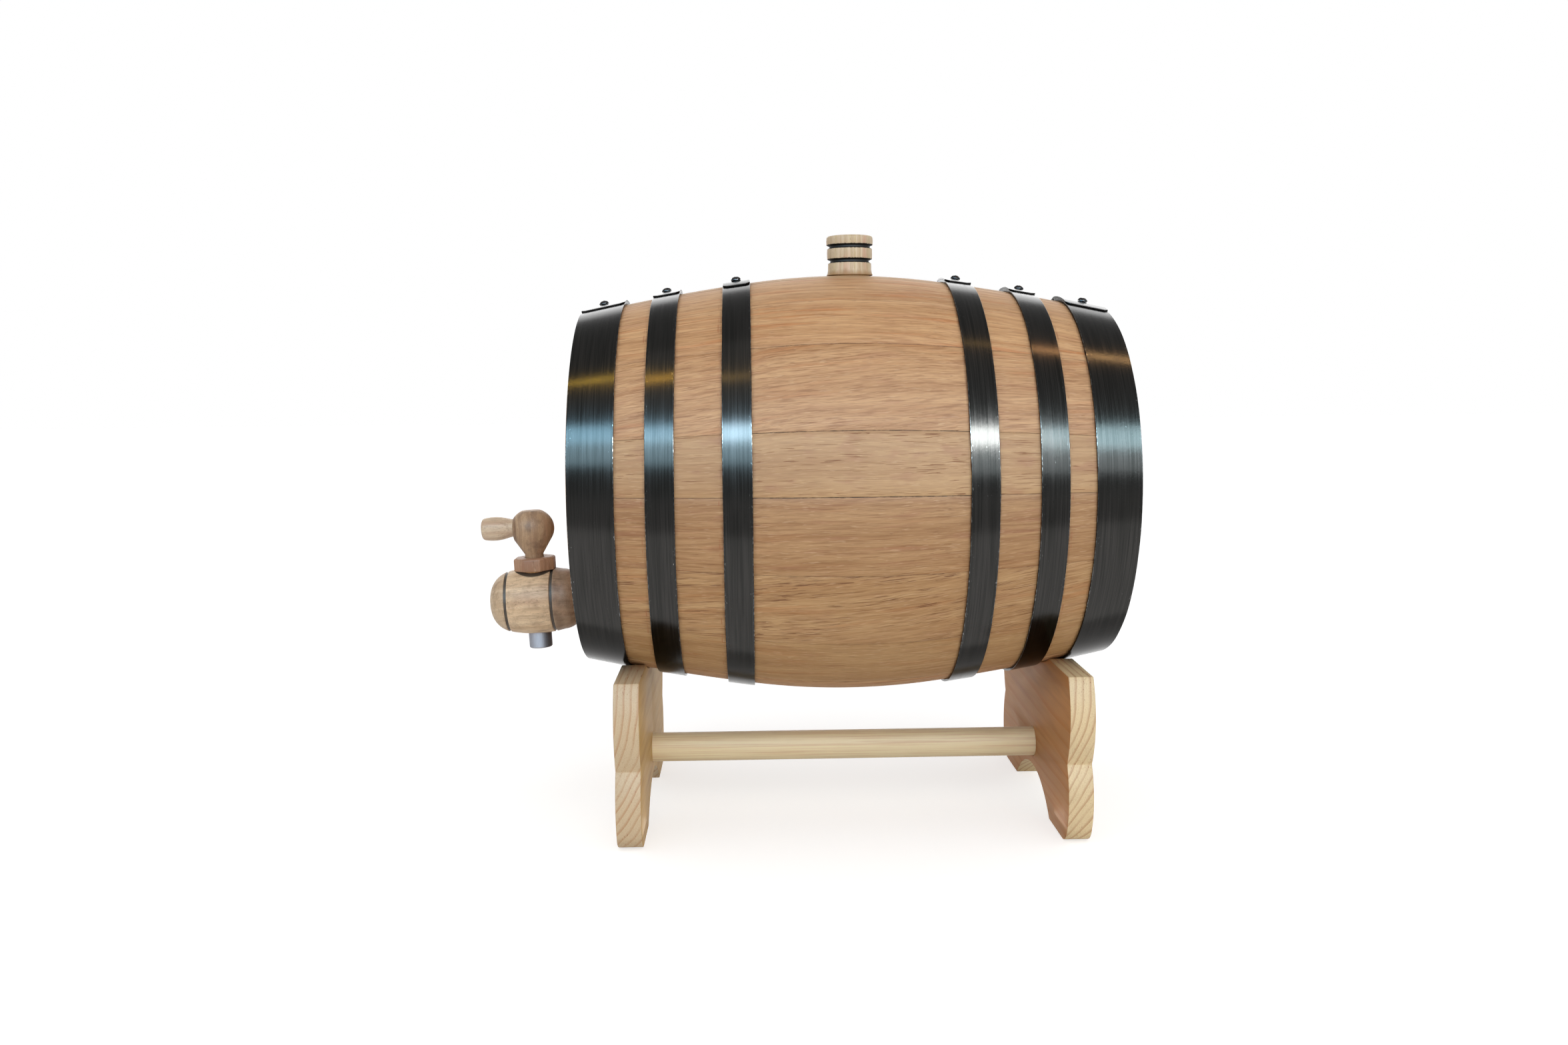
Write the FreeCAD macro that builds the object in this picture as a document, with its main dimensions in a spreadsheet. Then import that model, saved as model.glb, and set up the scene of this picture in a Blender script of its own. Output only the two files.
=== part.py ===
import FreeCAD, Part
import math
import os
import re
import Sketcher
from FreeCAD import Placement, Rotation, Vector

# A small oak cask that lies on a pine stand, with a bung on top and a turned wooden tap in its
# front head.  Millimetres, +Z up, the cask's axis along X and the tap towards -X.  The origin is
# on the floor, in the middle of the whole object's box.
#
# Each piece is built in its own plain place: cask pieces about the cask's centre, tap pieces about
# the point where the key's axis crosses the tap's axis, stand pieces about the floor below the
# cask's centre.  Its Placement then carries it to where it belongs.

# ---------------------------------------------------------------- driving dimensions

SIZES = {
    "tool_run": 5.0,              # how far a cutting tool runs past what it cuts
    # staves
    "cask_length": 260.0,
    "bulge_dia": 209.6,
    "stave_wall": 12.0,
    "stave_drop": 18.0,        # how far a stave's ends lie inside its middle
    "crown_half": 45.0,        # half the length of the rounder middle of a stave
    "crown_bend": 0.79,        # 1 would leave the rest of the stave straight
    "joint_gap": 0.15,         # hairline between two staves at the bulge
    "chime_bevel": 4.0,
    # heads
    "head_recess": 12.0,
    "head_wall": 12.0,
    "head_board": 30.0,
    "head_joint_gap": 0.15,
    "head_bevel": 7.5,
    "croze_width": 4.0,
    "croze_depth": 3.2,
    "croze_side_gap": 0.2,
    "croze_floor_gap": 0.3,
    "dowel_dia": 5.0,
    "dowel_length": 22.0,
    "dowel_at": 30.0,
    "dowel_gap": 0.1,
    # hoops
    "hoop_gauge": 1.2,
    "hoop_gap": 0.15,
    "hoop_inset": 0.3,
    "head_hoop_width": 21.6,
    "narrow_hoop_width": 13.2,
    # how far each hoop's middle lies in from the cask's end
    "front_quarter_in": 42.5,
    "front_bilge_in": 77.1,
    "rear_bilge_in": 73.6,
    "rear_quarter_in": 41.4,
    "lap_length": 25.0,
    "lap_corner": 2.2,
    "lap_ramp": 7.0,
    "lap_edge": 0.1,           # what the ramp leaves of the strip's edge
    # how far each overlap is turned off the top, towards -Y
    "front_head_lap_turn": 3.2,
    "front_quarter_lap_turn": 3.6,
    "front_bilge_lap_turn": 8.3,
    "rear_bilge_lap_turn": 4.0,
    "rear_quarter_lap_turn": 3.5,
    "rear_head_lap_turn": 8.9,
    # rivets
    "rivet_shank_dia": 3.0,
    "rivet_head_dia": 5.0,
    "rivet_head_height": 1.9,
    "rivet_rim": 0.6,
    "rivet_flat_dia": 1.4,
    "rivet_bulge": 0.26,
    "rivet_gap": 0.1,
    "rivet_seat_gap": 0.05,
    # bung
    "bung_at": 4.2,
    "bung_dia": 23.5,
    "bung_band_dia": 22.8,
    "bung_waist_dia": 21.8,
    "bung_flare_dia": 23.6,
    "bung_foot": 6.2,
    "bung_flare": 2.0,
    "bung_middle": 5.4,
    "bung_cap": 4.4,
    "bung_round": 0.9,
    "bung_ring_width": 1.7,
    "bung_ring_depth": 1.2,
    "bung_plug_dia": 20.0,
    "bung_plug_length": 19.0,
    "bung_taper": 0.075,       # lost in radius for each millimetre of depth
    "bung_chamfer": 1.2,
    "bung_gap": 0.3,
    # tap body
    "tap_reach": 28.0,         # key's axis in front of the cask's end
    "tap_below_axis": 59.0,
    "tap_droop": 2.6,
    "tap_dia": 34.4,
    "tap_barrel_half": 13.8,
    "tap_barrel_drop": 1.6,
    "tap_nose": 23.5,
    "tap_nose_dia": 10.0,
    "tap_nose_bend": 12.5,
    "tap_tail": 20.6,
    "tap_tail_dia": 25.0,
    "tap_tail_bend": 10.0,
    "shank_root_dia": 19.4,
    "shank_taper": 0.039,      # lost in radius for each millimetre of length
    "shank_past_head": 10.0,
    "shank_bore_dia": 8.0,
    "shank_gap": 0.15,
    "tap_ring_width": 1.6,
    "tap_ring_depth": 0.6,
    "front_ring_at": 14.3,
    "rear_ring_at": 9.0,
    # collar, cork sleeve and nozzle
    "collar_flats": 20.2,
    "collar_height": 6.6,
    "collar_seat": 16.0,
    "collar_seat_gap": 0.2,
    "collar_chamfer": 0.8,
    "collar_gap": 0.3,
    "sleeve_dia": 16.0,
    "sleeve_gap": 0.1,
    "sleeve_foot": 8.6,
    "sleeve_window_dia": 7.0,
    "nozzle_dia": 11.8,
    "nozzle_wall": 1.3,
    "nozzle_drop": 24.4,
    "nozzle_lip": 0.8,
    "nozzle_gap": 0.05,
    # key and lever
    "key_ball_dia": 20.6,
    "key_ball_at": 36.7,
    "key_top_dia": 5.0,
    "key_cheek": 30.0,         # degrees below the ball's middle where its straight cone begins
    "key_neck_dia": 9.4,
    "key_neck": 1.6,
    "key_plug_dia": 9.2,
    "key_taper": 0.012,        # lost in radius for each millimetre of depth
    "key_fit": 0.06,
    "key_foot_gap": 0.3,
    "key_port_dia": 5.0,
    "lever_up": 1.5,
    "lever_reach": 25.5,
    "lever_dia": 11.4,
    "lever_swell": 18.4,
    "lever_waist_dia": 8.6,
    "lever_end_dia": 10.0,
    "lever_round": 1.6,
    "lever_tenon_dia": 5.0,
    "lever_tenon_length": 5.0,
    "lever_gap": 0.1,
    "lever_seat_rim": 0.3,
    # stand
    "axis_height": 167.0,
    "board_inset": 30.0,       # from the cask's end in to the board's inner face
    "board_wall": 12.0,
    "board_half_width": 75.5,
    "cradle_half": 35.1,       # half the width of the cradle at the board's top
    "board_waist": 38.5,
    "upper_lobe": 5.8,
    "lower_lobe": 4.0,
    "foot_step": 1.5,
    "foot_heel": 6.0,
    "foot_radius": 10.5,
    "arch_half": 40.0,
    "arch_rise": 16.5,
    "cradle_gap": 0.3,
    "stretcher_dia": 15.0,
    "stretcher_up": 29.0,
    "stretcher_socket": 8.0,
    "stretcher_gap": 0.1,
}

# Staves are sawn from boards of unlike widths.  Each takes its share of the circle, from the bung
# stave on top down the cask's -Y side and round.
STAVE_SHARES = (25, 18, 18.1, 24.3, 16.1, 20, 22, 22.5, 23.5, 21, 23, 21, 24, 20, 21, 21.5, 19)

HOOPS = ("front_head", "front_quarter", "front_bilge", "rear_bilge", "rear_quarter", "rear_head")
HEAD_BOARDS = 5
HEAD_JOINTS = (-1.5, -0.5, 0.5, 1.5)     # in widths of a board from the middle
LAP_END_SHARE = 0.02                     # of the lap's half turn, within which an edge is at its end
COLLAR_SIDES = 8
FULL_TURN = 360.0


# ---------------------------------------------------------------- sizes that follow from those

def arc_radius(chord, rise):
    return (chord ** 2 / 4 + rise ** 2) / (2 * rise)


def crown_and_quarter(s):
    """The stave's outer line: a crown arc, and a flatter arc tangent to it out to the end."""
    span = s["cask_length"] / 2 - s["crown_half"]
    most = s["stave_drop"] / (1 + 2 * span / s["crown_half"])
    drop = s["crown_bend"] * most
    crown_radius = arc_radius(2 * s["crown_half"], drop)
    joint_r = s["bulge_dia"] / 2 - drop
    normal = Vector(s["crown_half"], 0, crown_radius - drop).normalize()
    chord = Vector(span, 0, drop - s["stave_drop"])
    quarter_radius = chord.dot(chord) / (-2 * chord.dot(normal))
    centre = Vector(s["crown_half"], 0, joint_r) - normal * quarter_radius
    return crown_radius, joint_r, quarter_radius, centre


def stave_r(s, x):
    """Outer radius of the staves at a distance x from the middle of the cask."""
    crown_radius, joint_r, quarter_radius, centre = crown_and_quarter(s)
    if abs(x) <= s["crown_half"]:
        return s["bulge_dia"] / 2 - crown_radius + math.sqrt(crown_radius ** 2 - x ** 2)
    return centre.z + math.sqrt(quarter_radius ** 2 - (abs(x) - centre.x) ** 2)


def stave_inner_r(s, x):
    """Inner radius of the staves outside the crown: the inner arc shares the outer arc's centre."""
    crown_radius, joint_r, quarter_radius, centre = crown_and_quarter(s)
    return centre.z + math.sqrt((quarter_radius - s["stave_wall"]) ** 2 - (abs(x) - centre.x) ** 2)


def stave_sizes(s):
    crown_radius, joint_r, quarter_radius, centre = crown_and_quarter(s)
    half = s["cask_length"] / 2
    inner_joint_x = s["crown_half"] * (crown_radius - s["stave_wall"]) / crown_radius
    inner_end_r = stave_inner_r(s, half)
    head_mid = half - s["head_recess"] - s["head_wall"] / 2
    croze_r = stave_inner_r(s, head_mid) + s["croze_depth"]
    d = {
        "half_length": half,
        "bulge_r": s["bulge_dia"] / 2,
        "end_r": s["bulge_dia"] / 2 - s["stave_drop"],
        "crown_radius": crown_radius,
        "crown_joint_r": joint_r,
        "quarter_radius": quarter_radius,
        "crown_inner_radius": crown_radius - s["stave_wall"],
        "quarter_inner_radius": quarter_radius - s["stave_wall"],
        "inner_joint_x": inner_joint_x,
        "inner_joint_r": stave_inner_r(s, inner_joint_x),
        "inner_end_r": inner_end_r,
        "chime_start": half - s["chime_bevel"] - s["tool_run"],
        "chime_start_r": inner_end_r - s["tool_run"],
        "chime_past": half + s["tool_run"],
        "chime_past_r": inner_end_r + s["chime_bevel"] + s["tool_run"],
        "head_mid": head_mid,
        "croze_outer": head_mid + s["croze_width"] / 2,
        "croze_inner": head_mid - s["croze_width"] / 2,
        "croze_r": croze_r,
        "croze_open_r": croze_r - s["croze_depth"] - s["tool_run"],
    }
    gap = math.degrees(s["joint_gap"] / d["bulge_r"])
    from_top = -FULL_TURN * STAVE_SHARES[0] / sum(STAVE_SHARES) / 2
    for index, share in enumerate(STAVE_SHARES):
        turn = FULL_TURN * share / sum(STAVE_SHARES)
        d["stave_angle_%02d" % index] = turn - gap
        d["stave_turn_%02d" % index] = from_top + turn / 2
        from_top += turn
    return d


def head_sizes(s, d):
    rim_r = d["croze_r"] - s["croze_floor_gap"]
    h = {
        "head_half_wall": s["head_wall"] / 2,
        "rim_half": s["croze_width"] / 2 - s["croze_side_gap"],
        "rim_r": rim_r,
        "rim_foot_r": rim_r - s["croze_depth"] - s["croze_floor_gap"],
        "head_face_r": rim_r - s["head_bevel"],
        "head_reach": rim_r + s["tool_run"],
    }
    for joint, place in enumerate(HEAD_JOINTS, start=1):
        middle = place * s["head_board"]
        h["head_joint_%d" % joint] = middle
        h["head_joint_%d_low" % joint] = middle - s["head_joint_gap"] / 2
        h["head_joint_%d_high" % joint] = middle + s["head_joint_gap"] / 2
    return h


def hoop_sizes(s, d):
    """Where each hoop lies, the radii of its two layers at both edges, and its slope."""
    h = {"rivet_hole_r": s["rivet_shank_dia"] / 2 + s["rivet_gap"]}
    for name in HOOPS:
        end, ring = name.split("_")
        side = -1 if end == "front" else 1
        width = s["head_hoop_width"] if ring == "head" else s["narrow_hoop_width"]
        inset = s["hoop_inset"] + width / 2 if ring == "head" else s[name + "_in"]
        middle = side * (d["half_length"] - inset)
        near, far = middle - width / 2, middle + width / 2
        base = {"near": stave_r(s, near) + s["hoop_gap"], "far": stave_r(s, far) + s["hoop_gap"]}
        h[name + "_middle"] = middle
        h[name + "_near"] = near
        h[name + "_far"] = far
        for edge, radius in base.items():
            h["%s_%s_r" % (name, edge)] = radius
            h["%s_%s_mid_r" % (name, edge)] = radius + s["hoop_gauge"]
            h["%s_%s_top_r" % (name, edge)] = radius + 2 * s["hoop_gauge"]
        h[name + "_r"] = (base["near"] + base["far"]) / 2
        slope = math.atan2(base["far"] - base["near"], width)
        h[name + "_slope"] = math.degrees(slope)
        h[name + "_lap_angle"] = math.degrees(s["lap_length"] / h[name + "_r"])
        # the rivet hole starts below the strip, on the rivet's own sloping axis
        h[name + "_hole_at"] = middle + s["hoop_gauge"] * math.sin(slope)
        h[name + "_hole_foot"] = h[name + "_r"] - s["hoop_gauge"] * math.cos(slope)
    shank, head, flat = s["rivet_shank_dia"] / 2, s["rivet_head_dia"] / 2, s["rivet_flat_dia"] / 2
    seat = 2 * s["hoop_gauge"] + s["rivet_seat_gap"]
    dome = s["rivet_head_height"] - s["rivet_rim"]
    h.update({
        "rivet_shank_r": shank,
        "rivet_head_r": head,
        "rivet_flat_r": flat,
        "rivet_foot": s["rivet_seat_gap"],
        "rivet_seat": seat,
        "rivet_rim_at": seat + s["rivet_rim"],
        "rivet_top": seat + s["rivet_head_height"],
        "rivet_dome_r": arc_radius(math.hypot(head - flat, dome), s["rivet_bulge"]),
    })
    return h


def bung_sizes(s):
    """Heights are above the crown of the bung stave."""
    foot_top = s["bung_gap"] + s["bung_foot"]
    band = foot_top + s["bung_ring_width"]
    band_top = band + s["bung_middle"]
    cap = band_top + s["bung_ring_width"]
    plug_r = s["bung_plug_dia"] / 2
    return {
        "bung_r": s["bung_dia"] / 2,
        "bung_band_r": s["bung_band_dia"] / 2,
        "bung_waist_r": s["bung_waist_dia"] / 2,
        "bung_flare_r": s["bung_flare_dia"] / 2,
        "bung_flare_top": s["bung_gap"] + s["bung_flare"],
        "bung_low_ring_r": s["bung_waist_dia"] / 2 - s["bung_ring_depth"],
        "bung_high_ring_r": s["bung_band_dia"] / 2 - s["bung_ring_depth"],
        "bung_foot_top": foot_top,
        "bung_band_at": band,
        "bung_band_top": band_top,
        "bung_cap_at": cap,
        "bung_top": cap + s["bung_cap"],
        "bung_shoulder": cap + s["bung_cap"] - s["bung_round"],
        "bung_top_r": s["bung_dia"] / 2 - s["bung_round"],
        "bung_plug_r": plug_r,
        "bung_nose": s["bung_plug_length"] - s["bung_chamfer"],
        "bung_nose_r": plug_r - s["bung_taper"] * (s["bung_plug_length"] - s["bung_chamfer"]),
        "bung_end_r": plug_r - s["bung_taper"] * s["bung_plug_length"] - s["bung_chamfer"],
        "bung_hole_top_r": plug_r + s["bung_gap"] + s["bung_taper"] * s["tool_run"],
        "bung_hole_foot_r": plug_r + s["bung_gap"] - s["bung_taper"] * (s["stave_wall"] + s["tool_run"]),
    }


def barrel_r(s, x):
    """Outer radius of the tap's barrel at a distance x from the key's axis."""
    bend = arc_radius(2 * s["tap_barrel_half"], s["tap_barrel_drop"])
    return s["tap_dia"] / 2 - bend + math.sqrt(bend ** 2 - x ** 2)


def plug_r(s, z):
    """Radius of the key's plug at a height z above the tap's axis."""
    return s["key_plug_dia"] / 2 - s["key_taper"] * (s["collar_seat"] + s["collar_height"] - z)


def tap_sizes(s, d):
    tip = s["tap_reach"] + s["head_recess"] + s["head_wall"] + s["shank_past_head"]
    root_r = s["shank_root_dia"] / 2
    hole_start = s["tap_reach"] + s["head_recess"] - s["tool_run"]
    hole_end = hole_start + s["head_wall"] + 2 * s["tool_run"]
    hole_r = root_r + s["shank_gap"] + s["shank_taper"] * s["tap_tail"]
    droop = math.radians(s["tap_droop"])
    t = {
        "tap_barrel_bend": arc_radius(2 * s["tap_barrel_half"], s["tap_barrel_drop"]),
        "tap_barrel_r": s["tap_dia"] / 2 - s["tap_barrel_drop"],
        "tap_open_r": s["tap_dia"] / 2 + s["tool_run"],
        "tap_nose_r": s["tap_nose_dia"] / 2,
        "tap_tail_r": s["tap_tail_dia"] / 2,
        "shank_root_r": root_r,
        "shank_tip": tip,
        "shank_tip_r": root_r - s["shank_taper"] * (tip - s["tap_tail"]),
        "shank_bore_r": s["shank_bore_dia"] / 2,
        # the hole for the shank, in the frame of the head board
        "tap_hole_start": hole_start * math.cos(droop) - s["tap_reach"] - d["half_length"] + d["head_mid"],
        "tap_hole_up": hole_start * math.sin(droop) - s["tap_below_axis"],
        "tap_hole_length": hole_end - hole_start,
        "tap_hole_front_r": hole_r - s["shank_taper"] * hole_start,
        "tap_hole_back_r": hole_r - s["shank_taper"] * hole_end,
        "sleeve_r": s["sleeve_dia"] / 2,
        "sleeve_bore_r": s["sleeve_dia"] / 2 + s["sleeve_gap"],
        "sleeve_top": s["collar_seat"] - s["sleeve_gap"],
        "sleeve_window_r": s["sleeve_window_dia"] / 2,
        "sleeve_hole_top_r": plug_r(s, s["collar_seat"] - s["sleeve_gap"]) + s["key_fit"],
        "sleeve_hole_foot_r": plug_r(s, -s["sleeve_foot"]) + s["key_fit"],
        "nozzle_r": s["nozzle_dia"] / 2,
        "nozzle_hole_r": s["nozzle_dia"] / 2 + s["nozzle_gap"],
        "nozzle_bore_r": s["nozzle_dia"] / 2 - s["nozzle_wall"],
        "nozzle_top": s["sleeve_foot"] + s["sleeve_gap"],
        "nozzle_lip_at": s["nozzle_drop"] - s["nozzle_lip"],
        "nozzle_lip_r": s["nozzle_dia"] / 2 - s["nozzle_lip"] / 2,
        "collar_half": s["collar_flats"] / 2,
        "collar_corner": s["collar_flats"] / 2 * math.tan(math.pi / COLLAR_SIDES),
        "collar_hole_r": s["key_neck_dia"] / 2 + s["collar_gap"],
        "collar_seat_half": s["collar_flats"] / 2 + s["collar_seat_gap"],
    }
    for name in ("front_ring", "rear_ring"):
        t[name + "_near"] = s[name + "_at"] - s["tap_ring_width"] / 2
        t[name + "_far"] = s[name + "_at"] + s["tap_ring_width"] / 2
        t[name + "_floor"] = barrel_r(s, s[name + "_at"]) - s["tap_ring_depth"]
    return t


def key_sizes(s):
    ball_r = s["key_ball_dia"] / 2
    cheek = math.radians(s["key_cheek"])
    collar_top = s["collar_seat"] + s["collar_height"]
    seat_r = s["lever_waist_dia"] / 2 + s["lever_seat_rim"]
    lever_seat = math.sqrt(ball_r ** 2 - (seat_r + s["lever_up"]) ** 2)
    return {
        "key_ball_r": ball_r,
        "key_past": ball_r + s["tool_run"],
        "key_top_r": s["key_top_dia"] / 2,
        "key_top": s["key_ball_at"] + math.sqrt(ball_r ** 2 - s["key_top_dia"] ** 2 / 4),
        "key_cheek_r": ball_r * math.cos(cheek),
        "key_cheek_at": s["key_ball_at"] - ball_r * math.sin(cheek),
        "key_neck_r": s["key_neck_dia"] / 2,
        "key_neck_top": collar_top + s["key_neck"],
        "key_plug_top": s["collar_seat"],
        "key_plug_top_r": plug_r(s, s["collar_seat"]),
        "key_foot": s["sleeve_foot"] - s["key_foot_gap"],
        "key_foot_r": plug_r(s, s["key_foot_gap"] - s["sleeve_foot"]),
        "key_port_r": s["key_port_dia"] / 2,
        "lever_at": s["key_ball_at"] + s["lever_up"],
        "lever_seat": lever_seat,
        "lever_root": lever_seat + s["lever_gap"],
        "lever_inside": lever_seat - s["lever_tenon_length"],
        "lever_socket": lever_seat - s["lever_tenon_length"] - s["lever_gap"],
        "lever_r": s["lever_dia"] / 2,
        "lever_waist_r": s["lever_waist_dia"] / 2,
        "lever_shoulder": s["lever_reach"] - s["lever_round"],
        "lever_end_r": s["lever_end_dia"] / 2,
        "lever_face_r": s["lever_end_dia"] / 2 - s["lever_round"],
        "lever_tenon_r": s["lever_tenon_dia"] / 2,
        "lever_socket_r": s["lever_tenon_dia"] / 2 + s["lever_gap"],
    }


def stand_sizes(s, d):
    """The cradles clear the bare staves above them and the head hoops beside them."""
    face = d["half_length"] - s["board_inset"]
    hoop_r = d["rear_head_near_mid_r"]
    cradle_r = max(stave_r(s, face), hoop_r) + s["cradle_gap"]
    top = s["axis_height"] - math.sqrt(cradle_r ** 2 - s["cradle_half"] ** 2)
    heel_y = s["board_half_width"] + s["foot_step"]
    toe = math.sqrt(s["foot_radius"] ** 2 - (s["foot_radius"] - s["foot_heel"]) ** 2)
    lower_chord = math.hypot(s["foot_step"], s["board_waist"] - s["foot_heel"])
    return {
        "board_face": face,
        "cradle_r": cradle_r,
        "board_top": top,
        "upper_lobe_r": arc_radius(top - s["board_waist"], s["upper_lobe"]),
        "lower_lobe_r": arc_radius(lower_chord, s["lower_lobe"]),
        "heel_y": heel_y,
        "toe_y": heel_y - toe,
        "arch_radius": arc_radius(2 * s["arch_half"], s["arch_rise"]),
        "stretcher_r": s["stretcher_dia"] / 2,
        "stretcher_hole_r": s["stretcher_dia"] / 2 + s["stretcher_gap"],
        "stretcher_half": face + s["stretcher_socket"] - s["stretcher_gap"],
    }


def derived_sizes(s):
    d = stave_sizes(s)
    d.update(head_sizes(s, d))
    d.update(hoop_sizes(s, d))
    d.update(bung_sizes(s))
    d.update(tap_sizes(s, d))
    d.update(key_sizes(s))
    d.update(stand_sizes(s, d))
    # the whole object's box runs from the lever's end to the far end of the cask
    droop = math.radians(s["tap_droop"])
    lever_x = (s["lever_reach"] * math.cos(droop) + d["lever_at"] * math.sin(droop)
               + d["lever_face_r"] * math.sin(droop))
    d["cask_x"] = (s["tap_reach"] + lever_x) / 2
    return d


# ---------------------------------------------------------------- document and sheet

doc = FreeCAD.newDocument("oak_cask")
sheet = doc.addObject("Spreadsheet::Sheet", "sizes")
size = dict(SIZES)
size.update(derived_sizes(SIZES))
for row, (alias, value) in enumerate(size.items(), start=1):
    sheet.set("A%d" % row, alias.replace("_", " "))
    sheet.set("B%d" % row, repr(float(value)))
    sheet.setAlias("B%d" % row, alias)
doc.recompute()

parts = []


def bind(thing, path, formula):
    """Binds a property to the sheet; the words of the formula are names of sizes."""
    thing.setExpression(path, re.sub(r"[a-z][a-z_0-9]*", r"sizes.\g<0>", formula))


# ---------------------------------------------------------------- ways of making a piece

X_AXIS = Vector(1, 0, 0)
Y_AXIS = Vector(0, 1, 0)
Z_AXIS = Vector(0, 0, 1)
MINUS_Y = Vector(0, -1, 0)


def new_body(label):
    body = doc.addObject("PartDesign::Body", label)
    body.Label = label
    parts.append(body)
    return body


def origin_of(body, role):
    return next(f for f in body.Origin.OriginFeatures if f.Role == role)


def new_sketch(body, name, plane="XZ_Plane"):
    sketch = body.newObject("Sketcher::SketchObject", name)
    sketch.AttachmentSupport = (origin_of(body, plane), [""])
    sketch.MapMode = "FlatFace"
    return sketch


def number(word):
    if word == "0":
        return 0.0
    return -size[word[1:]] if word.startswith("-") else size[word]


def pin_point(sketch, edge, end, words):
    """Fixes one end of an edge at two named sizes."""
    for kind, axis, word in zip(("DistanceX", "DistanceY"), (-2, -1), words):
        if word == "0":
            sketch.addConstraint(Sketcher.Constraint("PointOnObject", edge, end, axis))
        else:
            row = sketch.addConstraint(Sketcher.Constraint(kind, -1, 1, edge, end, number(word)))
            bind(sketch, "Constraints[%d]" % row, word)


def outline(sketch, corners, bends=None):
    """A closed outline through corners named by sizes.

    bends gives the radius of the edge that leaves a corner, as (size, side): side is 1 where the
    edge bulges to the left of its own direction and -1 where it bulges to the right.
    """
    bends = bends or {}
    first, count = sketch.GeometryCount, len(corners)
    points = [Vector(number(x), number(y), 0) for x, y in corners]
    ends = []
    for i, start in enumerate(points):
        end = points[(i + 1) % count]
        if i not in bends:
            sketch.addGeometry(Part.LineSegment(start, end), False)
            ends.append((1, 2))
            continue
        radius, side = number(bends[i][0]), bends[i][1]
        along = end - start
        left = Vector(-along.y, along.x, 0).normalize()
        height = math.sqrt(max(radius ** 2 - along.Length ** 2 / 4, 0.0))
        middle = start + along * 0.5 + left * side * (radius - height)
        sketch.addGeometry(Part.Arc(start, middle, end), False)
        # a sketch keeps its arcs anticlockwise, so a bulge to the left is kept end first
        ends.append((2, 1) if side > 0 else (1, 2))
    for i in range(count):
        after = (i + 1) % count
        sketch.addConstraint(
            Sketcher.Constraint("Coincident", first + i, ends[i][1], first + after, ends[after][0]))
    for i, words in enumerate(corners):
        pin_point(sketch, first + i, ends[i][0], words)
    for i, (radius, side) in bends.items():
        row = sketch.addConstraint(Sketcher.Constraint("Radius", first + i, number(radius)))
        bind(sketch, "Constraints[%d]" % row, radius)


def turned(body, name, corners, bends=None, axis="X_Axis", turn=None):
    """Adds a turned piece, or with turn only a sector of it, centred on the XZ plane."""
    sketch = new_sketch(body, name + "_outline")
    outline(sketch, corners, bends)
    solid = body.newObject("PartDesign::Revolution", name)
    solid.Profile = sketch
    solid.ReferenceAxis = (origin_of(body, axis), [""])
    solid.Angle = FULL_TURN
    if turn:
        solid.Midplane = True
        bind(solid, "Angle", turn)
    return solid


def grooved(body, name, corners, axis="X_Axis"):
    """Cuts a ring-shaped groove all the way round."""
    sketch = new_sketch(body, name + "_outline")
    outline(sketch, corners)
    cut = body.newObject("PartDesign::Groove", name)
    cut.Profile = sketch
    cut.ReferenceAxis = (origin_of(body, axis), [""])
    cut.Angle = FULL_TURN
    return cut


def carry(thing, place, axis=None, angle=None):
    """Binds a Placement: a place of three formulas, and a turn about an axis."""
    if axis:
        thing.Placement = Placement(Vector(), Rotation(axis, 1))
        bind(thing, "Placement.Rotation.Angle", angle)
    for path, formula in zip("xyz", place):
        if formula != "0":
            bind(thing, "Placement.Base." + path, formula)


def cut_round(body, name, radii, height, place, axis=None, angle=None):
    """Cuts a round hole, tapered where radii holds two sizes, from place along its turned +Z."""
    kind = "Cylinder" if len(radii) == 1 else "Cone"
    hole = body.newObject("PartDesign::Subtractive" + kind, name)
    for path, word in zip(("Radius",) if len(radii) == 1 else ("Radius1", "Radius2"), radii):
        bind(hole, path, word)
    bind(hole, "Height", height)
    carry(hole, place, axis, angle)
    return hole


def chamfered(body, name, edges, length, second=None):
    base = body.Tip
    cut = body.newObject("PartDesign::Chamfer", name)
    cut.Base = (base, edges)
    bind(cut, "Size", length)
    if second:
        cut.ChamferType = "Two distances"
        bind(cut, "Size2", second)
    return cut


def on_cask(thing, x="0", angle=None):
    """Carries a piece that is built about the cask's centre, turned round the cask's axis."""
    carry(thing, ("cask_x" if x == "0" else "cask_x + " + x, "0", "axis_height"),
          X_AXIS if angle else None, angle)


def on_tap(thing):
    """Carries a piece that is built about the crossing of the key's and the tap's axes."""
    carry(thing, ("cask_x - half_length - tap_reach", "0", "axis_height - tap_below_axis"),
          MINUS_Y, "tap_droop")


# ---------------------------------------------------------------- staves and heads

STAVE_CORNERS = (
    ("half_length", "end_r"),
    ("crown_half", "crown_joint_r"),
    ("-crown_half", "crown_joint_r"),
    ("-half_length", "end_r"),
    ("-half_length", "inner_end_r"),
    ("-inner_joint_x", "inner_joint_r"),
    ("inner_joint_x", "inner_joint_r"),
    ("half_length", "inner_end_r"),
)
STAVE_BENDS = {
    0: ("quarter_radius", -1),
    1: ("crown_radius", -1),
    2: ("quarter_radius", -1),
    4: ("quarter_inner_radius", 1),
    5: ("crown_inner_radius", 1),
    6: ("quarter_inner_radius", 1),
}


def cut_stave_ends(body):
    """At each end, the croze that holds the head and the bevelled chime."""
    for end, sign in (("front", "-"), ("rear", "")):
        grooved(body, end + "_croze", (
            (sign + "croze_inner", "croze_open_r"),
            (sign + "croze_outer", "croze_open_r"),
            (sign + "croze_outer", "croze_r"),
            (sign + "croze_inner", "croze_r"),
        ))
        grooved(body, end + "_chime", (
            (sign + "chime_start", "chime_start_r"),
            (sign + "chime_past", "chime_start_r"),
            (sign + "chime_past", "chime_past_r"),
        ))


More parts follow.
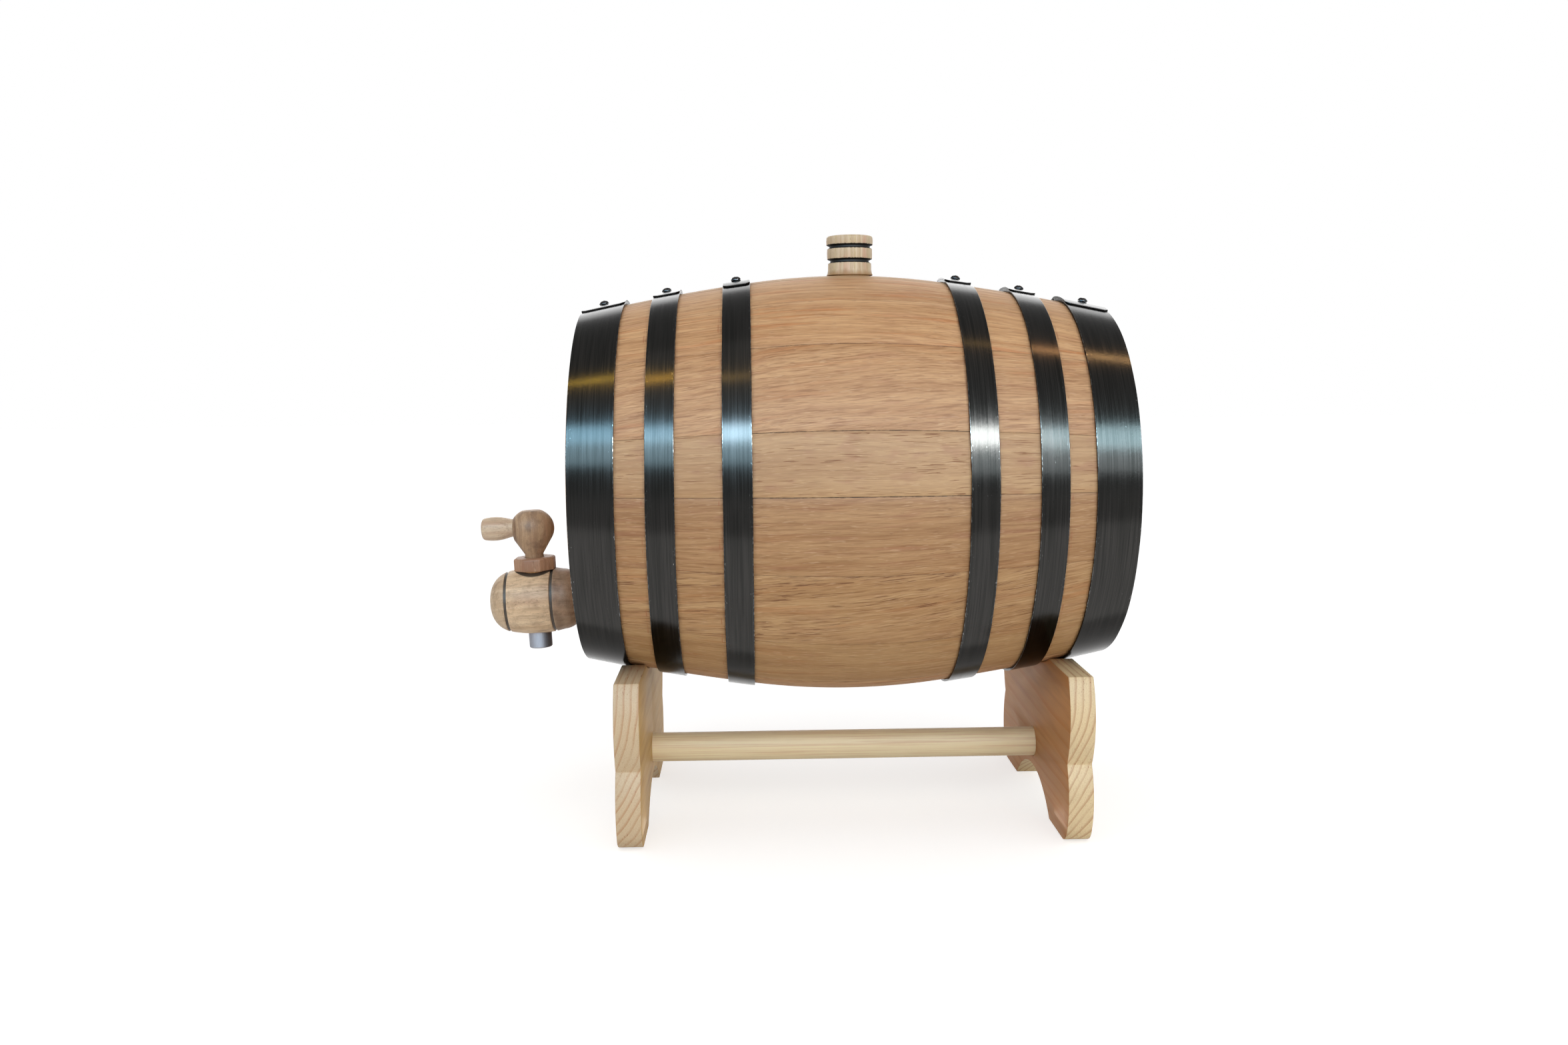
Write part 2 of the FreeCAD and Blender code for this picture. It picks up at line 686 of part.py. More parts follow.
def make_staves():
    for index in range(len(STAVE_SHARES)):
        body = new_body("stave_%02d" % index if index else "bung_stave")
        turned(body, "stave", STAVE_CORNERS, STAVE_BENDS, turn="stave_angle_%02d" % index)
        cut_stave_ends(body)
        if index == 0:
            cut_round(body, "bung_hole", ("bung_hole_top_r", "bung_hole_foot_r"),
                      "stave_wall + 2 * tool_run", ("bung_at", "0", "bulge_r + tool_run"), X_AXIS, "180")
        on_cask(body, angle="stave_turn_%02d" % index)


HEAD_CORNERS = (
    ("-head_half_wall", "0"),
    ("head_half_wall", "0"),
    ("head_half_wall", "head_face_r"),
    ("rim_half", "rim_foot_r"),
    ("rim_half", "rim_r"),
    ("-rim_half", "rim_r"),
    ("-rim_half", "rim_foot_r"),
    ("-head_half_wall", "head_face_r"),
)


def saw_board(body, index):
    """Cuts away what lies below and above one board of the round head."""
    sketch = new_sketch(body, "joint_lines", "YZ_Plane")
    if index > 1:
        low = "head_joint_%d_high" % (index - 1)
        outline(sketch, (("-head_reach", "-head_reach"), ("head_reach", "-head_reach"),
                         ("head_reach", low), ("-head_reach", low)))
    if index < HEAD_BOARDS:
        high = "head_joint_%d_low" % index
        outline(sketch, (("-head_reach", high), ("head_reach", high),
                         ("head_reach", "head_reach"), ("-head_reach", "head_reach")))
    cut = body.newObject("PartDesign::Pocket", "joints")
    cut.Profile = sketch
    cut.Type = "ThroughAll"
    cut.Midplane = True


def drill_for_dowels(body, index):
    for joint in (index - 1, index):
        if not 1 <= joint < HEAD_BOARDS:
            continue
        for side in ("-", ""):
            cut_round(body, "dowel_hole_%d" % joint, ("dowel_dia / 2 + dowel_gap",),
                      "dowel_length + 2 * dowel_gap",
                      ("0", side + "dowel_at", "head_joint_%d - dowel_length / 2 - dowel_gap" % joint))


def make_dowels(end, place):
    """Pins inside the head that hold its boards edge to edge."""
    pins = []
    for joint in range(1, HEAD_BOARDS):
        for side in ("-", ""):
            pin = doc.addObject("Part::Cylinder", end + "_dowel")
            bind(pin, "Radius", "dowel_dia / 2")
            bind(pin, "Height", "dowel_length")
            carry(pin, ("0", side + "dowel_at", "head_joint_%d - dowel_length / 2" % joint))
            pins.append(pin)
    group = doc.addObject("Part::Compound", end + "_head_dowels")
    group.Label = end + "_head_dowels"
    group.Links = pins
    on_cask(group, x=place)
    parts.append(group)


def make_heads():
    for end, place in (("front", "-head_mid"), ("rear", "head_mid")):
        for index in range(1, HEAD_BOARDS + 1):
            body = new_body("%s_head_board_%d" % (end, index))
            turned(body, "head", HEAD_CORNERS)
            saw_board(body, index)
            drill_for_dowels(body, index)
            if end == "front" and index == 1:
                # follows the tap's shank, with its droop and its taper
                cut_round(body, "tap_hole", ("tap_hole_front_r", "tap_hole_back_r"), "tap_hole_length",
                          ("tap_hole_start", "0", "tap_hole_up"), Y_AXIS, "90 - tap_droop")
            on_cask(body, x=place)
        make_dowels(end, place)


# ---------------------------------------------------------------- hoops and their rivets

def strip(name, low, high):
    """The section of a layer of hoop strip that lies along the staves' slope."""
    near, far = name + "_near", name + "_far"
    return ((near, near + low), (far, far + low), (far, far + high), (near, near + high))


def lap_edges(shape, name, side, wanted):
    """The wanted edges at one end of the lap: side is 1 for the end towards -Y, -1 for the other."""
    end_turn = math.radians(size[name + "_lap_angle"] / 2)
    found = []
    for index, edge in enumerate(shape.Edges, start=1):
        middle = edge.CenterOfMass
        turn = side * math.atan2(-middle.y, middle.z)
        if abs(turn / end_turn - 1) < LAP_END_SHARE and wanted(edge):
            found.append("Edge%d" % index)
    return found


def make_hoop(name):
    body = new_body(name + "_hoop")
    turned(body, "band", strip(name, "_r", "_mid_r"))
    turned(body, "lap", strip(name, "_mid_r", "_top_r"), turn=name + "_lap_angle")
    doc.recompute()
    gauge = size["hoop_gauge"]
    seam_r = size[name + "_r"] + 1.5 * gauge

    def upright(edge):
        return edge.Length < 2 * gauge

    def outer(edge):
        return not upright(edge) and math.hypot(edge.CenterOfMass.y, edge.CenterOfMass.z) > seam_r

    chamfered(body, "lap_corners", lap_edges(body.Shape, name, 1, upright), "lap_corner")
    doc.recompute()
    chamfered(body, "lap_ramp", lap_edges(body.Shape, name, -1, outer), "hoop_gauge - lap_edge", "lap_ramp")
    # the hole stands square to the strip, under the rivet
    cut_round(body, "rivet_hole", ("rivet_hole_r",), "4 * hoop_gauge",
              (name + "_hole_at", "0", name + "_hole_foot"), MINUS_Y, name + "_slope")
    on_cask(body, angle=name + "_lap_turn")


RIVET_CORNERS = (
    ("0", "rivet_foot"),
    ("rivet_shank_r", "rivet_foot"),
    ("rivet_shank_r", "rivet_seat"),
    ("rivet_head_r", "rivet_seat"),
    ("rivet_head_r", "rivet_rim_at"),
    ("rivet_flat_r", "rivet_top"),
    ("0", "rivet_top"),
)


def make_rivet(name):
    """A short shank through both layers of strip, and a domed head on the lap."""
    body = new_body(name + "_rivet")
    sketch = new_sketch(body, "section")
    sketch.AttachmentOffset = Placement(Vector(), Rotation(Z_AXIS, 1))
    bind(sketch, "AttachmentOffset.Rotation.Angle", name + "_slope")
    bind(sketch, "AttachmentOffset.Base.x", name + "_middle")
    bind(sketch, "AttachmentOffset.Base.y", name + "_r")
    outline(sketch, RIVET_CORNERS, {4: ("rivet_dome_r", -1)})
    solid = body.newObject("PartDesign::Revolution", "rivet")
    solid.Profile = sketch
    solid.ReferenceAxis = (sketch, ["V_Axis"])
    solid.Angle = FULL_TURN
    on_cask(body, angle=name + "_lap_turn")


# ---------------------------------------------------------------- bung

def make_bung():
    body = new_body("bung")
    turned(body, "bung", (
        ("0", "-bung_plug_length"),
        ("bung_end_r", "-bung_plug_length"),
        ("bung_nose_r", "-bung_nose"),
        ("bung_plug_r", "0"),
        ("bung_plug_r", "bung_gap"),
        ("bung_flare_r", "bung_gap"),
        ("bung_waist_r", "bung_flare_top"),
        ("bung_waist_r", "bung_foot_top"),
        ("bung_low_ring_r", "bung_foot_top"),
        ("bung_low_ring_r", "bung_band_at"),
        ("bung_band_r", "bung_band_at"),
        ("bung_band_r", "bung_band_top"),
        ("bung_high_ring_r", "bung_band_top"),
        ("bung_high_ring_r", "bung_cap_at"),
        ("bung_r", "bung_cap_at"),
        ("bung_r", "bung_shoulder"),
        ("bung_top_r", "bung_top"),
        ("0", "bung_top"),
    ), {15: ("bung_round", -1)}, axis="Z_Axis")
    carry(body, ("cask_x + bung_at", "0", "axis_height + bulge_r"))


# ---------------------------------------------------------------- tap

def make_tap_body():
    body = new_body("tap_body")
    turned(body, "turning", (
        ("-tap_nose", "0"),
        ("-tap_nose", "tap_nose_r"),
        ("-tap_barrel_half", "tap_barrel_r"),
        ("tap_barrel_half", "tap_barrel_r"),
        ("tap_tail", "tap_tail_r"),
        ("tap_tail", "shank_root_r"),
        ("shank_tip", "shank_tip_r"),
        ("shank_tip", "0"),
    ), {1: ("tap_nose_bend", 1), 2: ("tap_barrel_bend", 1), 3: ("tap_tail_bend", 1)})
    for ring, sign in (("front_ring", "-"), ("rear_ring", "")):
        grooved(body, ring, (
            (sign + ring + "_near", ring + "_floor"),
            (sign + ring + "_far", ring + "_floor"),
            (sign + ring + "_far", "tap_open_r"),
            (sign + ring + "_near", "tap_open_r"),
        ))
    seat = new_sketch(body, "collar_seat_outline")
    outline(seat, (
        ("-collar_seat_half", "collar_seat"),
        ("collar_seat_half", "collar_seat"),
        ("collar_seat_half", "tap_open_r"),
        ("-collar_seat_half", "tap_open_r"),
    ))
    flat = body.newObject("PartDesign::Pocket", "collar_seat")
    flat.Profile = seat
    flat.Type = "ThroughAll"
    flat.Midplane = True
    cut_round(body, "sleeve_bore", ("sleeve_bore_r",), "sleeve_foot + collar_seat + tool_run",
              ("0", "0", "-sleeve_foot"))
    cut_round(body, "nozzle_hole", ("nozzle_hole_r",), "tap_open_r", ("0", "0", "-tap_open_r"))
    cut_round(body, "shank_bore", ("shank_bore_r",), "shank_tip + tool_run", ("0", "0", "0"), Y_AXIS, "90")
    on_tap(body)


def make_collar():
    """An eight-sided collar on the flattened top of the tap; the key's neck turns in it."""
    body = new_body("tap_collar")
    sketch = new_sketch(body, "octagon", "XY_Plane")
    bind(sketch, "AttachmentOffset.Base.z", "collar_seat")
    outline(sketch, (
        ("collar_half", "-collar_corner"), ("collar_half", "collar_corner"),
        ("collar_corner", "collar_half"), ("-collar_corner", "collar_half"),
        ("-collar_half", "collar_corner"), ("-collar_half", "-collar_corner"),
        ("-collar_corner", "-collar_half"), ("collar_corner", "-collar_half"),
    ))
    block = body.newObject("PartDesign::Pad", "collar")
    block.Profile = sketch
    bind(block, "Length", "collar_height")
    doc.recompute()
    top = size["collar_seat"] + size["collar_height"]
    rim = ["Edge%d" % i for i, edge in enumerate(body.Shape.Edges, start=1)
           if all(abs(v.Z - top) < size["collar_chamfer"] / 2 for v in edge.Vertexes)]
    chamfered(body, "top_edge", rim, "collar_chamfer")
    cut_round(body, "neck_hole", ("collar_hole_r",), "collar_height + 2 * tool_run",
              ("0", "0", "collar_seat - tool_run"))
    on_tap(body)


def make_sleeve():
    """The cork sleeve that the key's plug turns in, with a window towards the shank's bore."""
    body = new_body("tap_cork_sleeve")
    turned(body, "sleeve", (
        ("sleeve_hole_foot_r", "-sleeve_foot"),
        ("sleeve_r", "-sleeve_foot"),
        ("sleeve_r", "sleeve_top"),
        ("sleeve_hole_top_r", "sleeve_top"),
    ), axis="Z_Axis")
    cut_round(body, "window", ("sleeve_window_r",), "sleeve_r + tool_run", ("0", "0", "0"), Y_AXIS, "90")
    on_tap(body)


def make_nozzle():
    body = new_body("tap_nozzle")
    turned(body, "tube", (
        ("nozzle_bore_r", "-nozzle_drop"),
        ("nozzle_lip_r", "-nozzle_drop"),
        ("nozzle_r", "-nozzle_lip_at"),
        ("nozzle_r", "-nozzle_top"),
        ("nozzle_bore_r", "-nozzle_top"),
    ), {1: ("nozzle_lip", -1)}, axis="Z_Axis")
    on_tap(body)


def make_key():
    """The key: a ball with a flat for the lever, a neck, and a plug with an L-shaped way through."""
    body = new_body("tap_key")
    turned(body, "turning", (
        ("0", "-key_foot"),
        ("key_foot_r", "-key_foot"),
        ("key_plug_top_r", "key_plug_top"),
        ("key_neck_r", "key_neck_top"),
        ("key_cheek_r", "key_cheek_at"),
        ("key_top_r", "key_top"),
        ("0", "key_top"),
    ), {4: ("key_ball_r", -1)}, axis="Z_Axis")
    cut_round(body, "down_port", ("key_port_r",), "key_foot + tool_run",
              ("0", "0", "-key_foot - tool_run"))
    cut_round(body, "side_port", ("key_port_r",), "key_neck_r + tool_run", ("0", "0", "0"), X_AXIS, "-90")
    face = new_sketch(body, "lever_face_outline")
    outline(face, (
        ("-key_past", "key_neck_top"),
        ("-lever_seat", "key_neck_top"),
        ("-lever_seat", "key_top"),
        ("-key_past", "key_top"),
    ))
    flat = body.newObject("PartDesign::Pocket", "lever_face")
    flat.Profile = face
    flat.Type = "ThroughAll"
    flat.Midplane = True
    cut_round(body, "lever_socket", ("lever_socket_r",), "key_past - lever_socket",
              ("-key_past", "0", "lever_at"), Y_AXIS, "90")
    on_tap(body)


def make_lever():
    """The peg that turns the key, with its tenon in the ball."""
    body = new_body("tap_lever")
    sketch = new_sketch(body, "section")
    bind(sketch, "AttachmentOffset.Base.y", "lever_at")
    outline(sketch, (
        ("-lever_inside", "0"),
        ("-lever_reach", "0"),
        ("-lever_reach", "lever_face_r"),
        ("-lever_shoulder", "lever_end_r"),
        ("-lever_swell", "lever_r"),
        ("-lever_root", "lever_waist_r"),
        ("-lever_root", "lever_tenon_r"),
        ("-lever_inside", "lever_tenon_r"),
    ), {2: ("lever_round", 1)})
    solid = body.newObject("PartDesign::Revolution", "peg")
    solid.Profile = sketch
    solid.ReferenceAxis = (sketch, ["H_Axis"])
    solid.Angle = FULL_TURN
    on_tap(body)


# ---------------------------------------------------------------- stand

BOARD_CORNERS = (
    ("arch_half", "0"),
    ("toe_y", "0"),
    ("heel_y", "foot_heel"),
    ("board_half_width", "board_waist"),
    ("board_half_width", "board_top"),
    ("cradle_half", "board_top"),
    ("-cradle_half", "board_top"),
    ("-board_half_width", "board_top"),
    ("-board_half_width", "board_waist"),
    ("-heel_y", "foot_heel"),
    ("-toe_y", "0"),
    ("-arch_half", "0"),
)
BOARD_BENDS = {
    1: ("foot_radius", -1),
    2: ("lower_lobe_r", -1),
    3: ("upper_lobe_r", -1),
    5: ("cradle_r", 1),
    7: ("upper_lobe_r", -1),
    8: ("lower_lobe_r", -1),
    9: ("foot_radius", -1),
    11: ("arch_radius", 1),
}


def make_stand():
    for end, drill_angle in (("front", "-90"), ("rear", "90")):
        body = new_body(end + "_stand_board")
        sketch = new_sketch(body, "board_outline", "YZ_Plane")
        outline(sketch, BOARD_CORNERS, BOARD_BENDS)
        board = body.newObject("PartDesign::Pad", "board")
        board.Profile = sketch
        bind(board, "Length", "board_wall")
        start = "board_wall + tool_run" if end == "front" else "-tool_run"
        cut_round(body, "stretcher_socket", ("stretcher_hole_r",), "stretcher_socket + tool_run",
                  (start, "0", "stretcher_up"), Y_AXIS, drill_angle)
        side = "cask_x - board_face - board_wall" if end == "front" else "cask_x + board_face"
        carry(body, (side, "0", "0"))

    body = new_body("stretcher")
    turned(body, "rod", (
        ("-stretcher_half", "0"),
        ("-stretcher_half", "stretcher_r"),
        ("stretcher_half", "stretcher_r"),
        ("stretcher_half", "0"),
    ))
    carry(body, ("cask_x", "0", "stretcher_up"))


# ---------------------------------------------------------------- the whole object

make_staves()
make_heads()
for hoop in HOOPS:
    make_hoop(hoop)
    make_rivet(hoop)
make_bung()
make_tap_body()
make_collar()
make_sleeve()
make_nozzle()
make_key()
make_lever()
make_stand()
doc.recompute()

failed = [thing.Label for thing in doc.Objects if {"Invalid", "Error"} & set(thing.State)]
if failed:
    raise RuntimeError("not built: " + ", ".join(failed))
for part in parts:
    if part.Shape.isNull() or not part.Shape.isValid() or part.Shape.Volume <= 0:
        raise RuntimeError("bad shape: " + part.Label)

os.makedirs("parts", exist_ok=True)
for part in parts:
    part.Shape.exportStep("parts/%s.step" % part.Label)
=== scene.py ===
"""A small oak cask on a pine stand, with iron hoops, a turned bung and a wooden tap.

Lengths in the making of a piece or a finish are in millimetres; objects are in metres, +Z up, the
cask's axis along X with the tap towards -X, and -Y towards the viewer.
"""

import math

import bmesh
import bpy
from mathutils import Matrix, Vector, noise


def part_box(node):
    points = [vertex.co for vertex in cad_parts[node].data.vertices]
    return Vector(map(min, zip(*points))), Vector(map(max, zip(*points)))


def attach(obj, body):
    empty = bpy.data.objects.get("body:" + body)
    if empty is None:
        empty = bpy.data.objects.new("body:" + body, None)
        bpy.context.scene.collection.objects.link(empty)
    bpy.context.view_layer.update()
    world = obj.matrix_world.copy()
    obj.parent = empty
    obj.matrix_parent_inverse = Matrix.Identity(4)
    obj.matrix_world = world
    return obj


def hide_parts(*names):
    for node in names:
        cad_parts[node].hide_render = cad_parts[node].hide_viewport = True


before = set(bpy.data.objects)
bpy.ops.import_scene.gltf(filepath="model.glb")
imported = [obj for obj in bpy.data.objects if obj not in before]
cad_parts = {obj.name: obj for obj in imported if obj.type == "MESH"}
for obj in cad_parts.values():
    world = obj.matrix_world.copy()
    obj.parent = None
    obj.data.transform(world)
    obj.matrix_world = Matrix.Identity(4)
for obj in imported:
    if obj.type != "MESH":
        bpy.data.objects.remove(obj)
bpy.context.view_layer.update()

MM = 0.001

# ---------------------------------------------------------------- sizes of the cask, in millimetres

BULGE_R = 104.8
END_DROP = 18.0                 # how much smaller in radius the ends are than the bulge
HALF_LENGTH = 130.0
CROWN_HALF = 45.0
CROWN_RADIUS = 341.7
QUARTER_RADIUS = 1007.4
JOINT_GAP = 0.06
# what each stave takes of the round, in degrees, and how far the joint after it has opened, 0 to 1
STAVE_SHARES = (25, 18, 18.1, 24.3, 16.1, 20, 22, 22.5, 23.5, 21, 23, 21, 24, 20, 21, 21.5, 19)
JOINTS_OPEN = (0.2, 0.2, 0.7, 1.0, 1.0, 0.4, 0.35, 0.5, 0.3, 0.8, 0.4, 0.2, 0.9, 0.5, 0.3, 0.7, 0.3)

stave_low, stave_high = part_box("bung_stave")
CASK = Vector(((stave_low.x + stave_high.x) / 2, 0, stave_high.z - BULGE_R * MM))
HOOPS = {                       # middle, width, how far the lap is turned towards -Y
    "front_head": (-118.9, 21.6, 3.2),
    "front_quarter": (-87.5, 13.2, 3.6),
    "front_bilge": (-52.9, 13.2, 8.3),
    "rear_bilge": (56.4, 13.2, 4.0),
    "rear_quarter": (88.6, 13.2, 3.5),
    "rear_head": (118.9, 21.6, 8.9),
}
TAP = CASK + Vector((-158.0, 0, -59.0)) * MM
TAP_DROOP = 2.6                 # degrees that the tap hangs below level
BUNG_AT = CASK + Vector((4.2, 0, BULGE_R)) * MM


def crown_r(x):
    return BULGE_R - CROWN_RADIUS + math.sqrt(CROWN_RADIUS ** 2 - x ** 2)


def quarter_centre():
    """Middle of the arc from the crown's edge to the stave's end: its x, and its place outwards."""
    edge_r = crown_r(CROWN_HALF)
    span, drop = HALF_LENGTH - CROWN_HALF, edge_r - (BULGE_R - END_DROP)
    lean = math.atan2(drop, span) - math.asin(math.hypot(span, drop) / 2 / QUARTER_RADIUS)
    return (CROWN_HALF - QUARTER_RADIUS * math.sin(lean),
            edge_r - QUARTER_RADIUS * math.cos(lean))


QUARTER_X, QUARTER_OUT = quarter_centre()


def stave_r(x):
    """Outer radius of the staves at a place along the cask."""
    if abs(x) <= CROWN_HALF:
        return crown_r(x)
    return QUARTER_OUT + math.sqrt(QUARTER_RADIUS ** 2 - (abs(x) - QUARTER_X) ** 2)


# ---------------------------------------------------------------- finishes

def tone(red, green, blue):
    """A colour as it is seen, 0 to 255, as the light that it gives back."""
    def light(value):
        value /= 255
        return value / 12.92 if value <= 0.04045 else ((value + 0.055) / 1.055) ** 2.4
    return (light(red), light(green), light(blue), 1.0)


def darker(colour, share):
    """A share of a colour's light."""
    return tuple(part * share for part in colour[:3]) + (1.0,)


class Wire:
    """A socket in the making of a finish; sums of wires add the Math nodes."""

    def __init__(self, nodes, socket):
        self.nodes = nodes
        self.socket = socket

    def maths(self, operation, *values):
        return self.nodes.node("Math", dict(enumerate(values)), operation=operation)

    def __add__(self, other):
        return self.maths("ADD", self, other)

    def __sub__(self, other):
        return self.maths("SUBTRACT", self, other)

    def __rsub__(self, other):
        return self.maths("SUBTRACT", other, self)

    def __mul__(self, other):
        return self.maths("MULTIPLY", self, other)

    def __truediv__(self, other):
        return self.maths("DIVIDE", self, other)

    def __neg__(self):
        return self.maths("MULTIPLY", self, -1.0)

    def __abs__(self):
        return self.maths("ABSOLUTE", self)

    def root(self):
        return self.maths("SQRT", self)

    def fraction(self):
        return self.maths("FRACT", self)

    def at_most(self, other):
        return self.maths("MINIMUM", self, other)

    def at_least(self, other):
        return self.maths("MAXIMUM", self, other)

    __radd__ = __add__
    __rmul__ = __mul__


class Nodes:
    """The nodes of a finish or of the sky, in the making."""

    def __init__(self, tree):
        self.tree = tree
        tree.nodes.clear()

    def node(self, kind, sockets=None, out=0, stops=None, **settings):
        node = self.tree.nodes.new("ShaderNode" + kind)
        for name, value in settings.items():
            setattr(node, name, value)
        if stops:
            ramp = node.color_ramp.elements
            while len(ramp) < len(stops):
                ramp.new(0.5)
            for element, (position, colour) in zip(ramp, stops):
                element.position = position
                element.color = colour
        for key, value in (sockets or {}).items():
            if isinstance(value, Wire):
                self.tree.links.new(value.socket, node.inputs[key])
            else:
                node.inputs[key].default_value = value
        return Wire(self, node.outputs[out]) if node.outputs else node

    def axes(self, vector):
        split = self.node("SeparateXYZ", {0: vector})
        return [Wire(self, socket) for socket in split.socket.node.outputs]

    def rays(self):
        """1 for what is seen straight, in gloss, and through glass."""
        sockets = self.node("LightPath").socket.node.outputs
        return [Wire(self, sockets[name])
                for name in ("Is Camera Ray", "Is Glossy Ray", "Is Transmission Ray")]


class Finish(Nodes):
    """A material in the making, on Object coordinates in millimetres from a piece's own centre."""

    def __init__(self, name, centre=(0, 0, 0), turn=(0, 0, 0)):
        self.material = bpy.data.materials.new(name)
        self.material.use_nodes = True
        super().__init__(self.material.node_tree)
        place = self.node("Mapping", {
            "Vector": self.node("TexCoord", out="Object"),
            "Location": tuple(centre),
            "Rotation": tuple(math.radians(angle) for angle in turn),
            "Scale": (MM, MM, MM),
        }, vector_type="TEXTURE")
        self.x, self.y, self.z = self.axes(place)

    def around(self, radius):
        """Millimetres round the X axis from the top towards -Y, as they are at a radius."""
        return self.node("Math", {0: -self.y, 1: self.z}, operation="ARCTAN2") * radius

    def from_axis(self):
        """Distance from the X axis."""
        return (self.y * self.y + self.z * self.z).root()

    def facing_x(self):
        """How far a face looks along X, from -1 to 1."""
        return self.axes(self.node("TexCoord", out="Normal"))[0]

    def end_faces(self):
        """1 on faces that look along X either way, 0 on the others."""
        return self.step(abs(self.facing_x()), 0.6, 0.8)

    def cloud(self, x, y, z, detail=2.0, roughness=0.5):
        """Soft noise, around 0.5, with a grain of about one unit."""
        return self.node("TexNoise", {
            "Vector": self.node("CombineXYZ", {0: x, 1: y, 2: z}),
            "Scale": 1.0, "Detail": detail, "Roughness": roughness})

    def step(self, value, low, high, first=0.0, last=1.0):
        return self.node("MapRange", {
            "Value": value, "From Min": low, "From Max": high, "To Min": first, "To Max": last,
        }, interpolation_type="SMOOTHSTEP")

    def mix(self, share, first, second):
        return self.node("Mix", {0: share, 6: first, 7: second}, out=2, data_type="RGBA")

    def bump(self, height, depth, under=None):
        """Height runs from 0 to 1 and stands for depth in millimetres."""
        sockets = {"Height": height, "Distance": depth * MM, "Strength": 1.0}
        if under:
            sockets["Normal"] = under
        return self.node("Bump", sockets)

    def done(self, colour, roughness, normal, **values):
        surface = self.node("BsdfPrincipled", {
            "Base Color": colour, "Roughness": roughness, "Normal": normal, **values})
        self.node("OutputMaterial", {"Surface": surface})
        return self.material


def grain(f, along, across, deep, wood):
    """Colour and height of cut wood: bands, strokes, fibres, pores and flecks that run along it."""
    seed = wood["seed"] * 17.3
    wander = f.cloud(along / wood["wave"] + seed, across / 16, deep / 16, 1.0) - 0.5
    wobble = f.cloud(along / 7 + seed, across / 3, deep / 3, 1.0) - 0.5
    run = across + along * wood["slant"] + wander * wood["wander"] + wobble * wood["wobble"]
    ring = run * math.sin(wood["tilt"]) + deep * math.cos(wood["tilt"])
    bands = f.cloud(ring / wood["band"] + seed, along / 150, run / 40, 2.0, 0.5)
    colour = f.mix(f.step(bands, 0.36, 0.64), wood["light"], wood["dark"])
    blush = f.cloud(along / wood["blush_long"] + seed, run / wood["blush_wide"], deep / 9,
                    2.0, 0.55)
    colour = f.mix(f.step(blush, 0.52, 0.72, 0.0, wood["blush_share"]), colour, wood["blush"])
    flame = f.cloud(ring / 3.5 + seed * 1.7, along / 70, run / 60, 2.0, 0.5)
    colour = f.mix(f.step(flame, 0.54, 0.72, 0.0, wood["flame_share"]), colour, wood["flame"])
    strokes = f.cloud(run / wood["streak"], along / wood["streak_long"] + seed, deep / 2.2,
                      2.0, 0.55)
    strokes = f.step(strokes, 0.46, 0.72, 0.0, wood["streak_share"])
    colour = f.mix(strokes, colour, wood["streak_tone"])
    fibres = f.cloud(run / wood["fibre"], along / 14 + seed, deep / wood["fibre"], 2.0, 0.6)
    shown = f.step(fibres, 0.42, 0.72, 0.0, wood["fibre_share"])
    colour = f.mix(shown, colour, wood["fibre_tone"])
    flecks = f.cloud(run / 0.5 + 31.0, along / 6 + seed, deep / 0.5, 1.0, 0.5)
    colour = f.mix(f.step(flecks, 0.6, 0.72, 0.0, wood["fleck_share"]), colour, wood["fleck"])
    dashes = f.cloud(run / wood["pore_width"] + 57.0, along / wood["pore_length"] + seed,
                     deep / wood["pore_width"], 1.0, 0.5)
    rows = f.cloud(ring / wood["row"] + seed * 0.7, along / 60, run / 40, 1.0, 0.5)
    pores = f.step(dashes, wood["pore_from"], wood["pore_from"] + 0.05) * f.step(rows, 0.40, 0.58)
    colour = f.mix(pores * wood["pore_share"], colour, wood["pore"])
    return colour, 0.6 * fibres - 0.7 * pores


RAW_WOOD = {"IOR": 1.45, "Specular IOR Level": 0.15}

# lengths in millimetres, and how strongly each layer of the figure shows
OAK = {
    "seed": 1.0, "wave": 70.0, "wander": 4.0, "wobble": 0.5, "slant": 0.03, "tilt": 1.1,
    "band": 4.0, "row": 2.2,
    "light": tone(208, 170, 130), "dark": tone(192, 152, 112),
    "blush": tone(186, 138, 108), "blush_share": 0.35, "blush_long": 30.0, "blush_wide": 5.0,
    "flame": tone(190, 130, 84), "flame_share": 0.5,
    "streak": 1.0, "streak_long": 24.0, "streak_tone": tone(156, 112, 76), "streak_share": 0.55,
    "fibre": 0.3, "fibre_tone": tone(142, 100, 66), "fibre_share": 0.5,
    "fleck": tone(226, 194, 156), "fleck_share": 0.25,
    "pore": tone(118, 76, 46), "pore_share": 0.75, "pore_from": 0.62,
    "pore_width": 0.26, "pore_length": 7.0,
}

